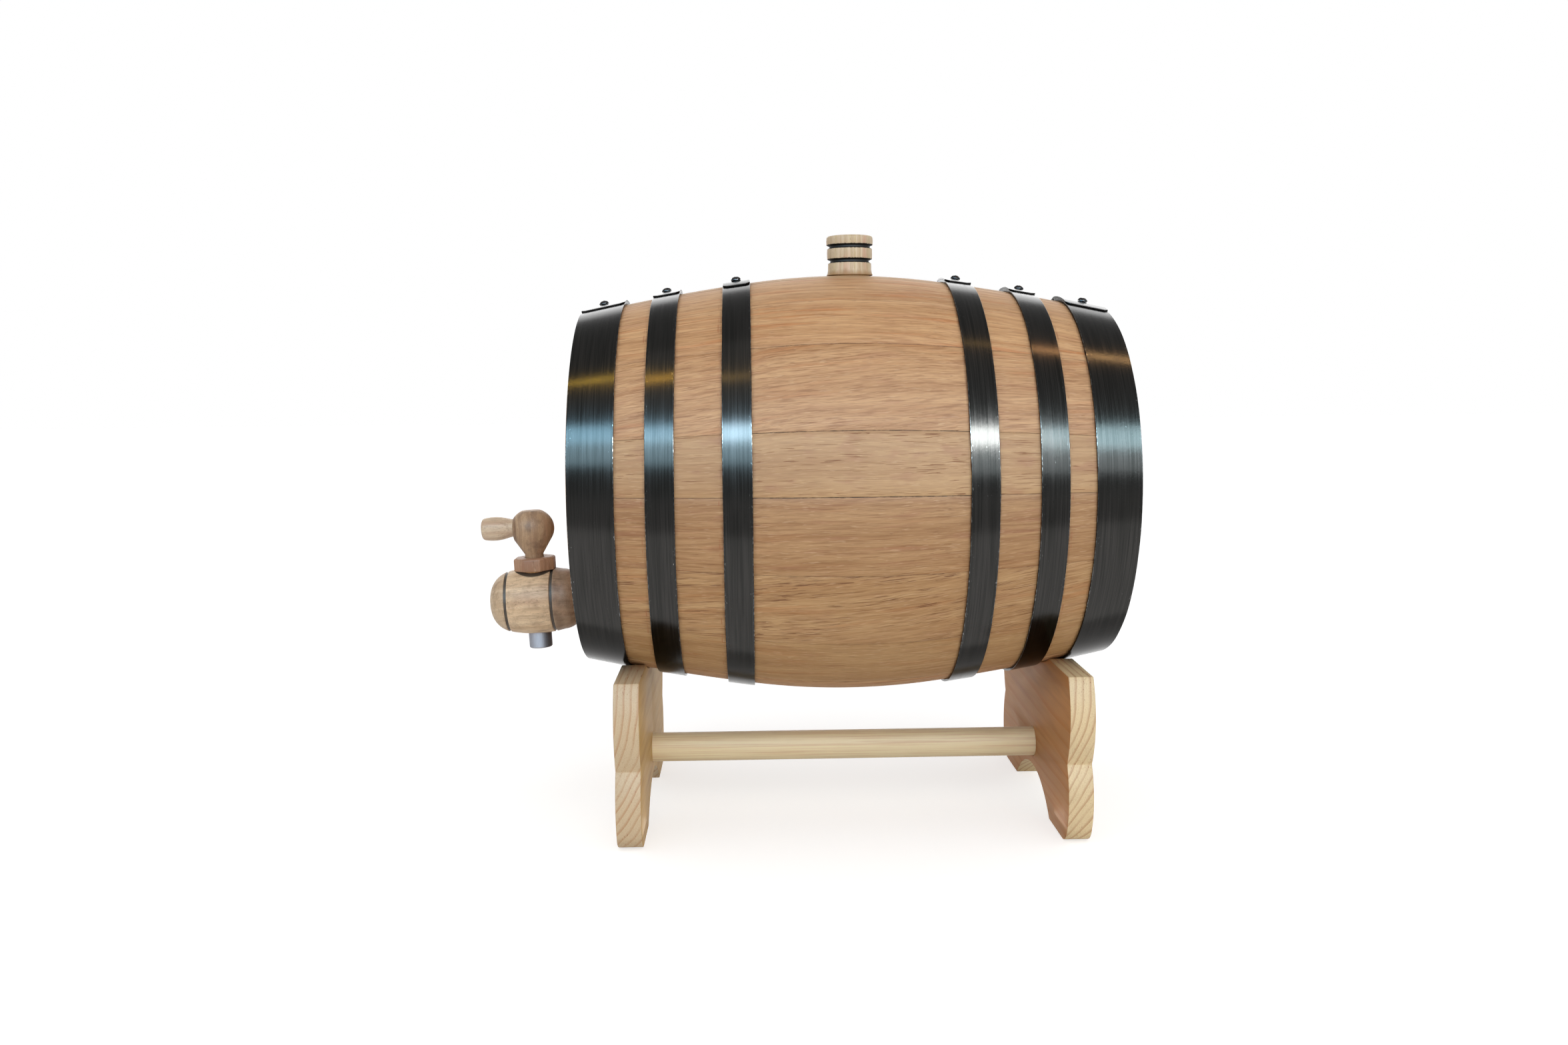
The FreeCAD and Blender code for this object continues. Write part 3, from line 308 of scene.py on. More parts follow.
# what is unlike the common oak in each stave
STAVE_WOODS = (
    {"pore_from": 0.70, "flame_share": 0.35, "fibre_share": 0.3},
    {"pore_from": 0.70, "flame_share": 0.7, "slant": -0.01},
    {"pore_from": 0.68, "flame_share": 0.9, "slant": -0.02},
    {"pore_from": 0.66, "slant": 0.07, "streak_share": 0.75, "streak_long": 13.0, "streak": 0.8,
     "pore_share": 0.5},
    {"pore_from": 0.625, "slant": 0.015, "pore_share": 0.85, "pore_length": 15.0,
     "pore_width": 0.34, "row": 2.6, "pore": tone(132, 86, 54), "blush_share": 0.6,
     "blush_long": 18.0, "blush_wide": 9.0, "fibre_share": 0.28, "streak_share": 0.25,
     "flame_share": 0.1},
    {"pore_from": 0.70, "slant": 0.03, "blush_share": 0.8, "blush_long": 45.0, "blush_wide": 3.5,
     "flame_share": 0.3},
    {"pore_from": 0.59, "slant": 0.11, "pore_share": 0.95, "pore_length": 14.0,
     "pore_width": 0.34, "row": 2.6, "streak_long": 16.0},
    {"pore_from": 0.69, "slant": 0.02, "streak_share": 0.35},
    {"pore_from": 0.62, "slant": 0.05},
    {"pore_from": 0.68, "slant": -0.05, "blush_share": 0.7},
    {"pore_from": 0.61, "slant": 0.02, "streak_share": 0.7, "streak_long": 14.0},
    {"pore_from": 0.66, "slant": 0.07, "blush_share": 0.7},
    {"pore_from": 0.60, "slant": -0.08, "row": 3.0},
    {"pore_from": 0.69, "slant": 0.04, "flame_share": 0.8},
    {"pore_from": 0.64, "slant": -0.03},
    {"pore_from": 0.67, "slant": 0.06},
    {"pore_from": 0.70, "slant": 0.02, "flame_share": 0.6},
)
# how much lighter or darker each stave is than the common oak: partly each stave's own tone, partly
# painted shade, which is strongest on the staves that face down at the front (stave 5 to stave 7)
STAVE_TONE_AND_SHADE = (
    (0.85, 0.85, 0.83), (1.04, 1.00, 0.94), (1.08, 1.03, 0.94), (1.01, 0.96, 0.88),
    (0.89, 0.88, 0.80), (0.80, 0.74, 0.63), (0.90, 0.87, 0.74), (0.79, 0.75, 0.60),
    (0.90, 0.86, 0.78), (0.96, 0.94, 0.86), (0.88, 0.84, 0.74), (0.98, 0.96, 0.90),
    (0.92, 0.89, 0.80), (1.00, 0.97, 0.90), (0.90, 0.87, 0.78), (1.03, 1.00, 0.93),
    (0.98, 0.95, 0.88))


MEAN_R = 100.0                  # of the staves, for measuring round them
HOOP_MEAN_R = 95.0
SHADOW_END = HALF_LENGTH - 3.0   # no painted shadow of a hoop reaches beyond this
DRIVEN_FROM = 1.6               # from a hoop's edge to the line that it left


def shown_joint(f, index, around, to_joint):
    """The dark line of a joint, broken here and there, and widest where the cask bulges."""
    ragged = f.cloud(f.x / 6.0, index * 3.1, 0.0, 3.0, 0.7)
    opened = f.step(around, -1.0, 1.0, JOINTS_OPEN[index - 1], JOINTS_OPEN[index])
    opened = opened * f.step(abs(f.x), 45.0, 62.0, 1.0, 0.45)
    return f.step(to_joint, 0.07, 0.27, 1.0, 0.0) * f.step(ragged, 0.38, 0.56, 0.3, 1.0) * opened


def hoop_edge_shadow(f, index, around):
    """Painted shadow, patchy, on the wood along the hoops' edges."""
    shadowed, clear = (1, 1, 1, 1), (0, 0, 0, 1)
    stops = []
    for middle, width, _ in HOOPS.values():
        for edge, side in ((middle - width / 2, -1), (middle + width / 2, 1)):
            pair = [(edge + side * 0.1, shadowed), (edge + side * 0.9, clear)]
            stops += pair if side > 0 else pair[::-1]
    stops = [(at / (2 * HALF_LENGTH) + 0.5, shade) for at, shade in stops
             if abs(at) < SHADOW_END]
    edge_shadow = f.node("ValToRGB", {0: f.x / (2 * HALF_LENGTH) + 0.5}, stops=stops)
    patchy = f.cloud(f.x / 3.0, around / 6.0, index * 1.7, 3.0, 0.6)
    return edge_shadow * f.step(patchy, 0.4, 0.65, 0.0, 0.6)


def with_driven_lines(f, colour, index, around):
    """Rusty lines where hoops have been driven over the wood."""
    driven = f.cloud(around / 8.0, index * 2.3, 4.0, 3.0, 0.6)
    for hoop in ("front_quarter", "front_bilge", "rear_quarter"):
        middle, width, _ = HOOPS[hoop]
        line_at = middle - (width / 2 + DRIVEN_FROM) * (1 if middle < 0 else -1)
        line = f.step(abs(f.x - line_at + (driven - 0.5) * 1.2), 0.15, 0.45, 1.0, 0.0)
        colour = f.mix(line * f.step(driven, 0.5, 0.62, 0.0, 0.5), colour, tone(160, 96, 62))
    return colour


def sawn_end(f, index, around, deep, to_joint):
    """End grain, which drinks up more dirt and shows every joint."""
    dots = f.cloud(around / 0.7, deep / 0.5, index * 1.9, 2.0, 0.6)
    years = f.cloud(around / 30 + deep / 1.1, around / 60, index * 2.9, 2.0, 0.5)
    colour = f.mix(f.step(years, 0.35, 0.65), tone(186, 142, 98), tone(150, 108, 70))
    colour = f.mix(f.step(dots, 0.52, 0.62, 0.0, 0.6), colour, tone(96, 64, 40))
    return f.mix(f.step(to_joint, 0.12, 0.4, 0.9, 0.0), colour, tone(34, 20, 12))


def stave_wood(index, middle, half):
    """Oak along a bent stave; middle and half are its place and half width in degrees."""
    f = Finish("oak_of_stave_%02d" % index, CASK, (middle, 0, 0))
    wood = dict(OAK, seed=index + 1.0, tilt=0.75 + 0.11 * (index * 5 % 7), **STAVE_WOODS[index])
    # each stave's factors scale the layers of its oak; they hold its own tone and painted shade
    for layer in ("light", "dark", "blush", "flame", "streak_tone", "fibre_tone"):
        shaded = [share * part for share, part in zip(wood[layer], STAVE_TONE_AND_SHADE[index])]
        wood[layer] = (*shaded, 1.0)
    around = f.around(MEAN_R)
    deep = f.from_axis() + f.x * f.x * (END_DROP / HALF_LENGTH ** 2) - BULGE_R
    to_joint = math.radians(half) * MEAN_R - abs(around)
    colour, height = grain(f, f.x, around, deep, wood)
    colour = f.mix(shown_joint(f, index, around, to_joint), colour, tone(38, 22, 13))
    # painted shadow along the hoops' edges
    colour = f.mix(hoop_edge_shadow(f, index, around), colour, tone(112, 66, 42))
    colour = with_driven_lines(f, colour, index, around)
    colour = f.mix(f.end_faces(), colour, sawn_end(f, index, around, deep, to_joint))
    rough = f.step(height, -0.6, 0.5, 0.75, 0.6)
    return f.done(colour, rough, f.bump(height, 0.05), **RAW_WOOD)


FRONT_DENTS, REAR_DENTS = 0.006, 0.014


def hoop_steel(name, middle, width):
    """Blued strip: fine drawn lines, small pits, and edges scuffed bare here and there."""
    f = Finish("blued_steel_" + name, CASK)
    around = f.around(HOOP_MEAN_R)
    edge = width / 2 - abs(f.x - middle)
    lines = f.cloud(f.x / 0.2, around / 30, middle, 2.0, 0.7)
    side_tone_and_shade = f.cloud(f.x / 0.8 + 9.0, around / 50, middle, 2.0, 0.6)
    drawn = 0.5 * lines + 0.5 * side_tone_and_shade
    cloudy = f.cloud(f.x / 12, around / 18, middle, 3.0, 0.55)
    worn = f.cloud(f.x / 0.5, around / 1.6, f.from_axis() / 0.5 + middle, 3.0, 0.7)
    bare = f.step(worn + 0.09 * f.step(edge, 0.0, 3.0, 1.0, 0.0), 0.72, 0.76)
    bare = bare * f.step(cloudy, 0.45, 0.6)
    rim = f.step(edge, 0.08, 0.30, 0.45, 0.0) * f.step(worn, 0.48, 0.60) * (1 - 0.6 * f.end_faces())
    pits = f.step(f.cloud(f.x / 0.35, around / 2.2, middle + 7.0, 2.0, 0.6), 0.62, 0.70)
    dents = f.cloud(f.x / 1.5, around / 2.0, middle + 3.0, 2.0, 0.5)
    colour = f.mix(f.step(drawn, 0.36, 0.64), tone(29, 29, 28), tone(39, 38, 37))
    colour = f.mix(pits * f.step(cloudy, 0.52, 0.66, 0.0, 0.45), colour, tone(12, 12, 12))
    colour = f.mix(bare * 0.6 + rim, colour, tone(120, 120, 119))
    rough = f.step(drawn, 0.3, 0.7, 0.13, 0.19) + cloudy * 0.06
    normal = f.bump(dents, FRONT_DENTS if middle < 0 else REAR_DENTS, f.bump(drawn, 0.009))
    blued = {"Metallic": 1.0, "Specular Tint": (0.6, 0.6, 0.6, 1.0)}
    return f.done(colour, rough, normal, **blued)


def rivet_steel(name):
    f = Finish("black_rivet_" + name, CASK)
    scale = f.cloud(f.x / 0.5, f.y / 0.5, f.z / 0.5, 3.0, 0.6)
    colour = f.mix(f.step(scale, 0.4, 0.7), tone(24, 24, 25), tone(46, 46, 48))
    return f.done(colour, f.step(scale, 0.3, 0.7, 0.18, 0.34), f.bump(scale, 0.02), Metallic=0.85)


def pine(name, centre, heart, seed, pale, grain_axis="y", rings=1.0, faces=None, streaks=0.0):
    """Pine with the rings of one tree: heart is the middle of the tree, across and up, and faces
    are the tones of its broad sides towards -X and +X, with painted shade in the tone of a side
    that faces in under the cask."""
    f = Finish(name, centre)
    along, side, up = (f.y, f.x, f.z) if grain_axis == "y" else (f.x, f.y, f.z)
    bend = f.cloud(side / 26 + seed, up / 26, along / 150, 1.0, 0.5) - 0.5
    out_x, out_z = side - heart[0], up - heart[1]
    out = (out_x * out_x + out_z * out_z).root()
    turns = (out + bend * 5.0 + along * 0.01) / 3.3
    year = turns.fraction()
    late = f.step(year, 0.50, 0.90) * f.step(year, 0.94, 1.0, 1.0, 0.0)
    vary = f.cloud(turns * 0.7, along / 60, up / 40, 1.0, 0.5)
    tint = f.cloud(side / 18, up / 18 + seed, along / 70, 2.0, 0.5)
    colour = f.mix(f.step(tint, 0.3, 0.7), pale, darker(pale, 0.94))
    colour = f.mix(late * f.step(vary, 0.3, 0.6, 0.2, 0.6) * rings, colour, tone(188, 134, 94))
    fibres = f.cloud(side / 0.35, along / 22, up / 0.35 + seed, 2.0, 0.6)
    if faces:
        # broad sides show a softer, warmer figure than the sawn ends of the rings; the darker, more
        # orange tone of an inner side is painted shade
        facing = f.facing_x()
        shares = (f.step(-facing, 0.6, 0.8), f.step(facing, 0.6, 0.8))
        for side_tone_and_shade, share in zip(faces, shares):
            side_figure_and_shade = f.mix(f.step(tint, 0.3, 0.7), side_tone_and_shade, darker(side_tone_and_shade, 0.8))
            colour = f.mix(share * 0.8, colour, side_figure_and_shade)
        grown = f.cloud(up / 5 + bend * 2, along / 70, side / 40 + seed, 2.0, 0.5)
        grown = f.step(grown, 0.45, 0.75, 0.0, 0.45) * f.step(abs(facing), 0.6, 0.8)
        colour = f.mix(grown, colour, tone(158, 104, 58))
    colour = f.mix(f.step(fibres, 0.4, 0.8, 0.0, 0.3 * rings), colour, tone(168, 130, 92))
    if streaks:
        lines = f.cloud(side / 0.7, along / 60, up / 0.7 + seed, 2.0, 0.6)
        colour = f.mix(f.step(lines, 0.46, 0.66, 0.0, streaks), colour, tone(206, 150, 104))
    height = 0.5 * fibres + 0.4 * late
    if faces:
        # resin ducts, hardly any of them on the broad sides
        ducts = f.cloud(side / 0.5, along / 9, up / 0.9 + seed, 0.0, 0.4)
        duct = f.step(ducts, 0.74, 0.78) * f.step(abs(facing), 0.6, 0.8, 1.0, 0.1)
        shown = duct * 0.6 * f.step(late, 0.0, 0.5, 0.35, 1.0)
        colour = f.mix(shown, colour, tone(150, 82, 52))
        height = height - 0.6 * duct
    rough = f.step(fibres, 0.2, 0.8, 0.5, 0.62)
    return f.done(colour, rough, f.bump(height, 0.07), **RAW_WOOD)


def turned_wood(name, centre, turn, wood, along="x"):
    """Wood turned on a lathe, with the finish's own x or z along its grain."""
    f = Finish(name, centre, turn)
    length, side, deep = (f.x, f.y, f.z) if along == "x" else (f.z, f.x, f.y)
    return f, *grain(f, length, side, deep, wood)


def head_oak(node, seed):
    """Oak across a head, with the dirt of the joint at both edges of its board."""
    low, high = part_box(node)
    name = "oak_of_" + node.replace("_board", "")
    wood = dict(OAK, seed=seed, pore_from=0.6)
    f, colour, height = turned_wood(name, (low + high) / 2, (0, 0, 90), wood)
    to_joint = (high.z - low.z) / 2 / MM - abs(f.z)
    colour = f.mix(f.step(to_joint, 0.15, 0.6, 0.85, 0.0), colour, tone(44, 27, 16))
    return f.done(colour, 0.62, f.bump(height, 0.1), **RAW_WOOD)


def dowel_wood(name):
    f, colour, height = turned_wood(name, CASK, (0, 0, 0), dict(OAK, seed=50.0), "z")
    return f.done(colour, 0.6, f.bump(height, 0.05))


TAP_TURN = (0, -TAP_DROOP, 0)
WALNUT = dict(
    OAK, wave=20.0, wander=5.0, slant=0.0, tilt=0.25, band=2.4, row=2.0,
    light=tone(228, 206, 178), dark=tone(204, 180, 152),
    blush=tone(180, 140, 116), blush_share=0.5,
    flame=tone(156, 122, 98), flame_share=0.4,
    fibre_tone=tone(150, 122, 96), fibre_share=0.3,
    streak=0.7, streak_tone=tone(160, 134, 108), streak_share=0.4,
    fleck=tone(214, 194, 168),
    pore=tone(104, 78, 60), pore_share=0.6, pore_from=0.66, pore_width=0.2, pore_length=2.2)
TAP_GROOVES = (-14.3, 9.0)      # places along the tap's body of the two blackened grooves


def tap_wood():
    wood = dict(WALNUT, light=tone(243, 219, 186), dark=tone(227, 199, 164), flame_share=0.25)
    f, colour, height = turned_wood("tap_wood", TAP, TAP_TURN, wood)
    smudge = f.cloud(f.x / 7, f.y / 7, f.z / 7 + 3.0, 3.0, 0.6)
    colour = f.mix(f.step(smudge, 0.46, 0.7, 0.0, 0.35), colour, tone(158, 126, 98))
    shank = f.mix(f.step(smudge, 0.4, 0.6), tone(132, 100, 82), tone(92, 66, 54))
    colour = f.mix(f.step(f.x, 8.5, 10.5, 0.0, 0.7), colour, shank)
    colour = f.mix(f.step(f.x, -15.5, -13.5, 0.22, 0.0), colour, tone(138, 120, 104))
    front, rear = (f.step(abs(f.x - at), 0.6, 0.85, 1.0, 0.0) for at in TAP_GROOVES)
    front = front * f.step(f.from_axis(), 12.0, 13.0)
    colour = f.mix((front + rear).at_most(1.0) * 0.92, colour, tone(52, 50, 50))
    # painted shadow where the collar sits on the body
    across = f.x * f.x + f.y * f.y
    collar_shadow = f.step(across, 106.0, 116.0, 1.0, 0.0) * f.step(f.z, 10.0, 12.0)
    colour = f.mix(collar_shadow * 0.9, colour, tone(44, 38, 34))
    return f.done(colour, 0.5, f.bump(height, 0.08), **RAW_WOOD)


def key_wood():
    wood = dict(WALNUT, seed=5.0, tilt=1.5, wander=3.0, light=tone(196, 166, 134),
                dark=tone(154, 124, 98), flame=tone(108, 82, 64), flame_share=0.75)
    f, colour, height = turned_wood("key_wood", TAP, TAP_TURN, wood, "z")
    smudge = f.cloud(f.x / 6, f.y / 6, f.z / 9, 3.0, 0.6)
    colour = f.mix(f.step(smudge, 0.45, 0.68, 0.0, 0.5), colour, tone(112, 90, 76))
    return f.done(colour, 0.55, f.bump(height, 0.06), **RAW_WOOD)


def lever_wood():
    wood = dict(WALNUT, seed=9.0, wander=1.5, light=tone(234, 216, 192),
                dark=tone(216, 194, 168), blush=tone(204, 164, 146), flame=tone(186, 150, 122))
    f, colour, height = turned_wood("lever_wood", TAP, TAP_TURN, wood)
    return f.done(colour, 0.5, f.bump(height, 0.06), **RAW_WOOD)


def collar_wood():
    wood = dict(WALNUT, seed=3.0, light=tone(190, 150, 122), dark=tone(162, 122, 98),
                flame=tone(146, 104, 82))
    f, colour, height = turned_wood("collar_wood", TAP, TAP_TURN, wood, "z")
    return f.done(colour, 0.5, f.bump(height, 0.06), **RAW_WOOD)


BUNG_RINGS = (7.35, 14.45)      # middles of the burnt grooves, above the crown


def bung_wood():
    wood = dict(
        WALNUT, seed=12.0, tilt=1.5, band=1.8, wander=1.2,
        light=tone(220, 204, 178), dark=tone(200, 178, 144),
        blush=tone(212, 170, 146), blush_share=0.8, flame=tone(206, 190, 138), flame_share=0.7,
        pore=tone(150, 120, 92), fibre_tone=tone(180, 150, 116),
        streak_tone=tone(190, 162, 126), fleck=tone(236, 222, 200))
    f, colour, height = turned_wood("bung_wood", BUNG_AT, (0, 0, 0), wood, "z")
    soaked = f.cloud(f.x / 5, f.y / 5, f.z / 30, 2.0, 0.6)
    colour = f.mix(f.step(f.z + soaked * 4.0, 2.0, 5.4, 0.8, 0.0), colour, tone(158, 116, 66))
    ragged = f.cloud(f.x / 0.8, f.y / 0.8, f.z / 6, 3.0, 0.7) - 0.5
    for ring in BUNG_RINGS:
        burnt = f.step(abs(f.z - ring) + ragged * 0.9, 0.95, 1.25, 1.0, 0.0)
        colour = f.mix(burnt, colour, tone(20, 17, 15))
    return f.done(colour, 0.6, f.bump(height, 0.07), **RAW_WOOD)


def spout_aluminium():
    """Drawn tube, with fine lines along it."""
    f = Finish("aluminium", TAP)
    lines = f.cloud(f.x / 0.12, f.y / 0.12, f.z / 4.0, 3.0, 0.6)
    bright = tone(117, 117, 122)
    colour = f.mix(f.step(lines, 0.3, 0.7), bright, darker(bright, 0.82))
    rough = f.step(lines, 0.2, 0.8, 0.42, 0.56)
    return f.done(colour, rough, f.bump(lines, 0.02), Metallic=1.0)


def cork():
    f = Finish("cork", TAP)
    cells = f.cloud(f.x / 0.9, f.y / 0.9, f.z / 0.9, 3.0, 0.7)
    dark = f.cloud(f.x / 2.4, f.y / 2.4, f.z / 2.4, 2.0, 0.5)
    colour = f.mix(f.step(cells, 0.35, 0.65), tone(196, 152, 104), tone(164, 116, 74))
    colour = f.mix(f.step(dark, 0.64, 0.7, 0.0, 0.8), colour, tone(92, 58, 36))
    return f.done(colour, 0.85, f.bump(cells, 0.15))


# ---------------------------------------------------------------- camera, floor and light

CAMERA_AT = CASK + Vector((-46.8, -676.8, 54.1)) * MM
CAMERA_TURNS = (1.40, -6.27, -0.56)     # yaw, pitch and roll in degrees
FRAME_WIDTH = 2352                      # in pixels, as the focal length is
FOCAL_LENGTH = 1978.7
SENSOR_WIDTH = 36.0


def linked(name, data):
    """A new object of the scene."""
    thing = bpy.data.objects.new(name, data)
    bpy.context.scene.collection.objects.link(thing)
    return thing


def set_camera():
    lens = bpy.data.cameras.new("camera")
    lens.sensor_width = SENSOR_WIDTH
    lens.lens = FOCAL_LENGTH / FRAME_WIDTH * SENSOR_WIDTH
    lens.clip_start, lens.clip_end = 0.01, 50.0
    yaw, pitch, roll = (math.radians(angle) for angle in CAMERA_TURNS)
    flat = math.cos(pitch)
    ahead = Vector((math.sin(yaw) * flat, math.cos(yaw) * flat, math.sin(pitch)))
    right = Vector((math.cos(yaw), -math.sin(yaw), 0))
    up = right.cross(ahead)
    turned = Matrix((right * math.cos(roll) + up * math.sin(roll),
                     up * math.cos(roll) - right * math.sin(roll), -ahead)).transposed()
    camera = linked("camera", lens)
    camera.matrix_world = Matrix.Translation(CAMERA_AT) @ turned.to_4x4()
    bpy.context.scene.camera = camera


def area_light(name, place, size, power, colour, along=None, back=None):
    """A lamp at a place in metres from the cask's middle, which it faces unless back says where
    its back looks; along is its longer side."""
    lamp = bpy.data.lights.new(name, "AREA")
    lamp.shape = "RECTANGLE"
    lamp.size, lamp.size_y = size
    lamp.energy = power
    lamp.color = colour
    back = Vector(back or place).normalized()
    along = Vector(along) if along else Vector((0, 0, 1)).cross(back)
    side = (along - back * back.dot(along)).normalized()
    light = linked(name, lamp)
    light.matrix_world = (Matrix.Translation(CASK + Vector(place))
                          @ Matrix((side, back.cross(side), back)).transposed().to_4x4())
    return light


# name, place, size, power and colour of what shows in the gloss of the hoops
WINDOWS = (
    ("window_far_left", (-0.77, -0.80, 0.66), (0.67, 0.19), 14.5, (0.38, 0.74, 1.0)),
    ("window_left", (-0.22, -1.10, 0.66), (0.60, 0.19), 29.0, (0.52, 0.79, 1.0)),
    ("window_left_foot", (-0.58, -1.04, 0.455), (1.05, 0.30), 14.0, (0.52, 0.82, 1.0)),
    ("window_right", (0.37, -1.06, 0.55), (0.60, 0.20), 37.0, (0.92, 0.98, 1.0)),
    ("window_far_right", (0.84, -0.74, 0.50), (0.50, 0.22), 12.0, (0.58, 0.88, 1.0)),
    ("window_right_foot", (0.73, -1.02, 0.32), (0.80, 0.32), 6.5, (0.82, 0.94, 1.0)),
    ("window_behind", (0.0, 1.15, 0.53), (2.2, 0.74), 15.0, (1.0, 1.0, 1.0)))
LAMPS = (
    ("lamp_far_left", (-0.62, -0.325, 1.10), (0.10, 0.045), 0.95, (1.0, 0.62, 0.07)),
    ("lamp_left", (-0.505, -0.45, 1.117), (0.11, 0.04), 1.35, (1.0, 0.54, 0.06)),
    ("lamp_near_left", (-0.345, -0.565, 1.115), (0.10, 0.07), 0.35, (1.0, 0.62, 0.18)),
    ("lamp_near_right", (0.49, -0.08, 1.185), (0.12, 0.06), 0.20, (1.0, 0.62, 0.20)),
    ("lamp_right", (0.63, -0.036, 1.136), (0.10, 0.035), 0.95, (1.0, 0.50, 0.20)),
    ("lamp_far_right", (0.745, 0.015, 1.083), (0.10, 0.035), 1.05, (1.0, 0.58, 0.24)))


def set_sky():
    """White where it is seen, and a softer light on the piece."""
    world = bpy.data.worlds.new("studio")
    bpy.context.scene.world = world
    world.use_nodes = True
    sky = Nodes(world.node_tree)
    straight, gloss, through = sky.rays()
    seen = straight.at_least(gloss).at_least(through)
    strength = sky.node("MapRange", {"Value": seen, "To Min": 0.60, "To Max": 1.0})
    white = sky.node("Background", {"Strength": strength, "Color": (1, 1, 1, 1)})
    sky.node("OutputWorld", {"Surface": white})


def set_light():
    """Soft light all round, and windows and lamps that only gloss shows."""
    area_light("ceiling", (-0.08, -0.72, 1.43), (1.4, 1.4), 3.6, (1.0, 0.98, 0.95))
    fill = area_light("front_fill", (0.22, -1.79, -0.02), (1.6, 0.9), 14.0, (1.0, 0.97, 0.90))
    fill.visible_glossy = False
    for window in WINDOWS:
        area_light(*window).visible_diffuse = False
    for lamp in LAMPS:
        area_light(*lamp, along=(1, 0, 0)).visible_diffuse = False
    card = area_light("low_card", (0, -0.23, -0.160), (1.4, 0.36), 2.5, (1.0, 1.0, 1.0),
                      along=(1, 0, 0), back=(0, 0, -1))
    card.visible_diffuse = card.visible_camera = False


def set_floor():
    bm = bmesh.new()
    bmesh.ops.create_grid(bm, x_segments=1, y_segments=1, size=6.0)
    mesh = bpy.data.meshes.new("floor")
    bm.to_mesh(mesh)
    bm.free()
    f = Finish("pale_floor")
    straight, gloss, through = f.rays()
    strength = 0.62 * (straight + through) + 0.95 * gloss
    lit = f.node("BsdfDiffuse", {"Color": (0.70, 0.70, 0.70, 1)})
    glow = f.node("Emission", {"Color": (1, 1, 1, 1), "Strength": strength})
    f.node("OutputMaterial", {"Surface": f.node("AddShader", {0: lit, 1: glow})})
    mesh.materials.append(f.material)
    floor = linked("floor", mesh)


# ---------------------------------------------------------------- ways of making a piece

FINE = 0.001                    # points nearer than this are one
EASED_ABOVE = math.radians(35)  # edges sharper than this are eased


def section(bm, corners):
    """A closed outline on the XZ plane through corners given as x and z."""
    verts = [bm.verts.new((x, 0, z)) for x, z in corners]
    return [bm.edges.new((first, second)) for first, second in zip(verts, verts[1:] + verts[:1])]


def bevel_edges(bm, edges, width):
    bmesh.ops.bevel(bm, geom=edges, offset=width, segments=2, profile=0.5, affect="EDGES",
                    material=-1, clamp_overlap=True)


def bevel_corners(bm, verts, width, segments):
    bmesh.ops.bevel(bm, geom=verts, offset=width, segments=segments, profile=0.5,
                    affect="VERTICES", material=-1, clamp_overlap=True)


def turning(corners, round_off, steps=64, axis="z"):
    """A turned piece: corners as distance from the axis and place along it, from pole to pole."""
    bm = bmesh.new()
    verts = [bm.verts.new((out, 0, along) if axis == "z" else (along, 0, out))
             for out, along in corners]
    for first, second in zip(verts, verts[1:]):
        bm.edges.new((first, second))
    bevel_corners(bm, [vert for vert, (out, _) in zip(verts, corners) if out > 0], round_off, 3)
    bmesh.ops.spin(bm, geom=bm.verts[:] + bm.edges[:], cent=(0, 0, 0),
                   axis=(0, 0, 1) if axis == "z" else (1, 0, 0), angle=math.tau, steps=steps,
                   use_merge=True)
    bmesh.ops.remove_doubles(bm, verts=bm.verts[:], dist=FINE)
    return bm


def eased_copy(node, width):
    """A node's own shape with its sharp edges eased, in millimetres from the frame's origin."""
    bm = bmesh.new()
    bm.from_mesh(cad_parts[node].data)
    bmesh.ops.scale(bm, vec=(1 / MM,) * 3, verts=bm.verts[:])
    bmesh.ops.remove_doubles(bm, verts=bm.verts[:], dist=2 * FINE)
    bmesh.ops.dissolve_limit(bm, angle_limit=math.radians(0.6), verts=bm.verts[:],
                             edges=bm.edges[:])
    bmesh.ops.recalc_face_normals(bm, faces=bm.faces[:])
    bevel_edges(bm, [edge for edge in bm.edges
                     if edge.is_manifold and edge.calc_face_angle() > EASED_ABOVE], width)
    return bm


def turned_by(bm, degrees, axis):
    bmesh.ops.rotate(bm, verts=bm.verts[:], cent=(0, 0, 0),
                     matrix=Matrix.Rotation(math.radians(degrees), 3, axis))


def in_place(bm, name, centre):
    """The mesh of a shape in millimetres, set round a centre in metres."""
    bmesh.ops.scale(bm, vec=(MM,) * 3, verts=bm.verts[:])
    bmesh.ops.translate(bm, vec=centre, verts=bm.verts[:])
    bmesh.ops.recalc_face_normals(bm, faces=bm.faces[:])
    mesh = bpy.data.meshes.new(name)
    bm.to_mesh(mesh)
    bm.free()
    return mesh


# the body that each node rides on, where that isn't the cask
BODY_OF = {"bung": "bung", "tap_key": "key", "tap_lever": "key", "stretcher": "stand",
           "front_stand_board": "stand", "rear_stand_board": "stand"}
# the first of these words in a node's name says its slot
SLOT_OF = {"stave": "stave_oak", "head_board": "head_oak", "stand_board": "stand_pine",
           "hoop": "hoop_steel", "rivet": "rivet_steel", "bung": "bung_wood",
           "tap_key": "key_wood", "tap_lever": "lever_wood", "tap_collar": "collar_wood",
           "tap_body": "tap_wood"}


def finished(bm, node, material, centre=(0, 0, 0), sharp=40):
    """Makes the shape the piece that stands for a node; sharp is where smooth shading ends."""
    for face in bm.faces:
        face.smooth = True
    mesh = in_place(bm, node + "_shape", centre)
    mesh.set_sharp_from_angle(angle=math.radians(sharp))
    mesh.materials.append(material)
    piece = linked(node + "_made", mesh)
    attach(piece, BODY_OF.get(node, "cask"))
    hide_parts(node)
    next(slot for word, slot in SLOT_OF.items() if word in node)
    return piece


def dress(node, material):
    """Gives a piece of the frame its finish."""
    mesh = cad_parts[node].data
    mesh.materials.clear()
    mesh.materials.append(material)


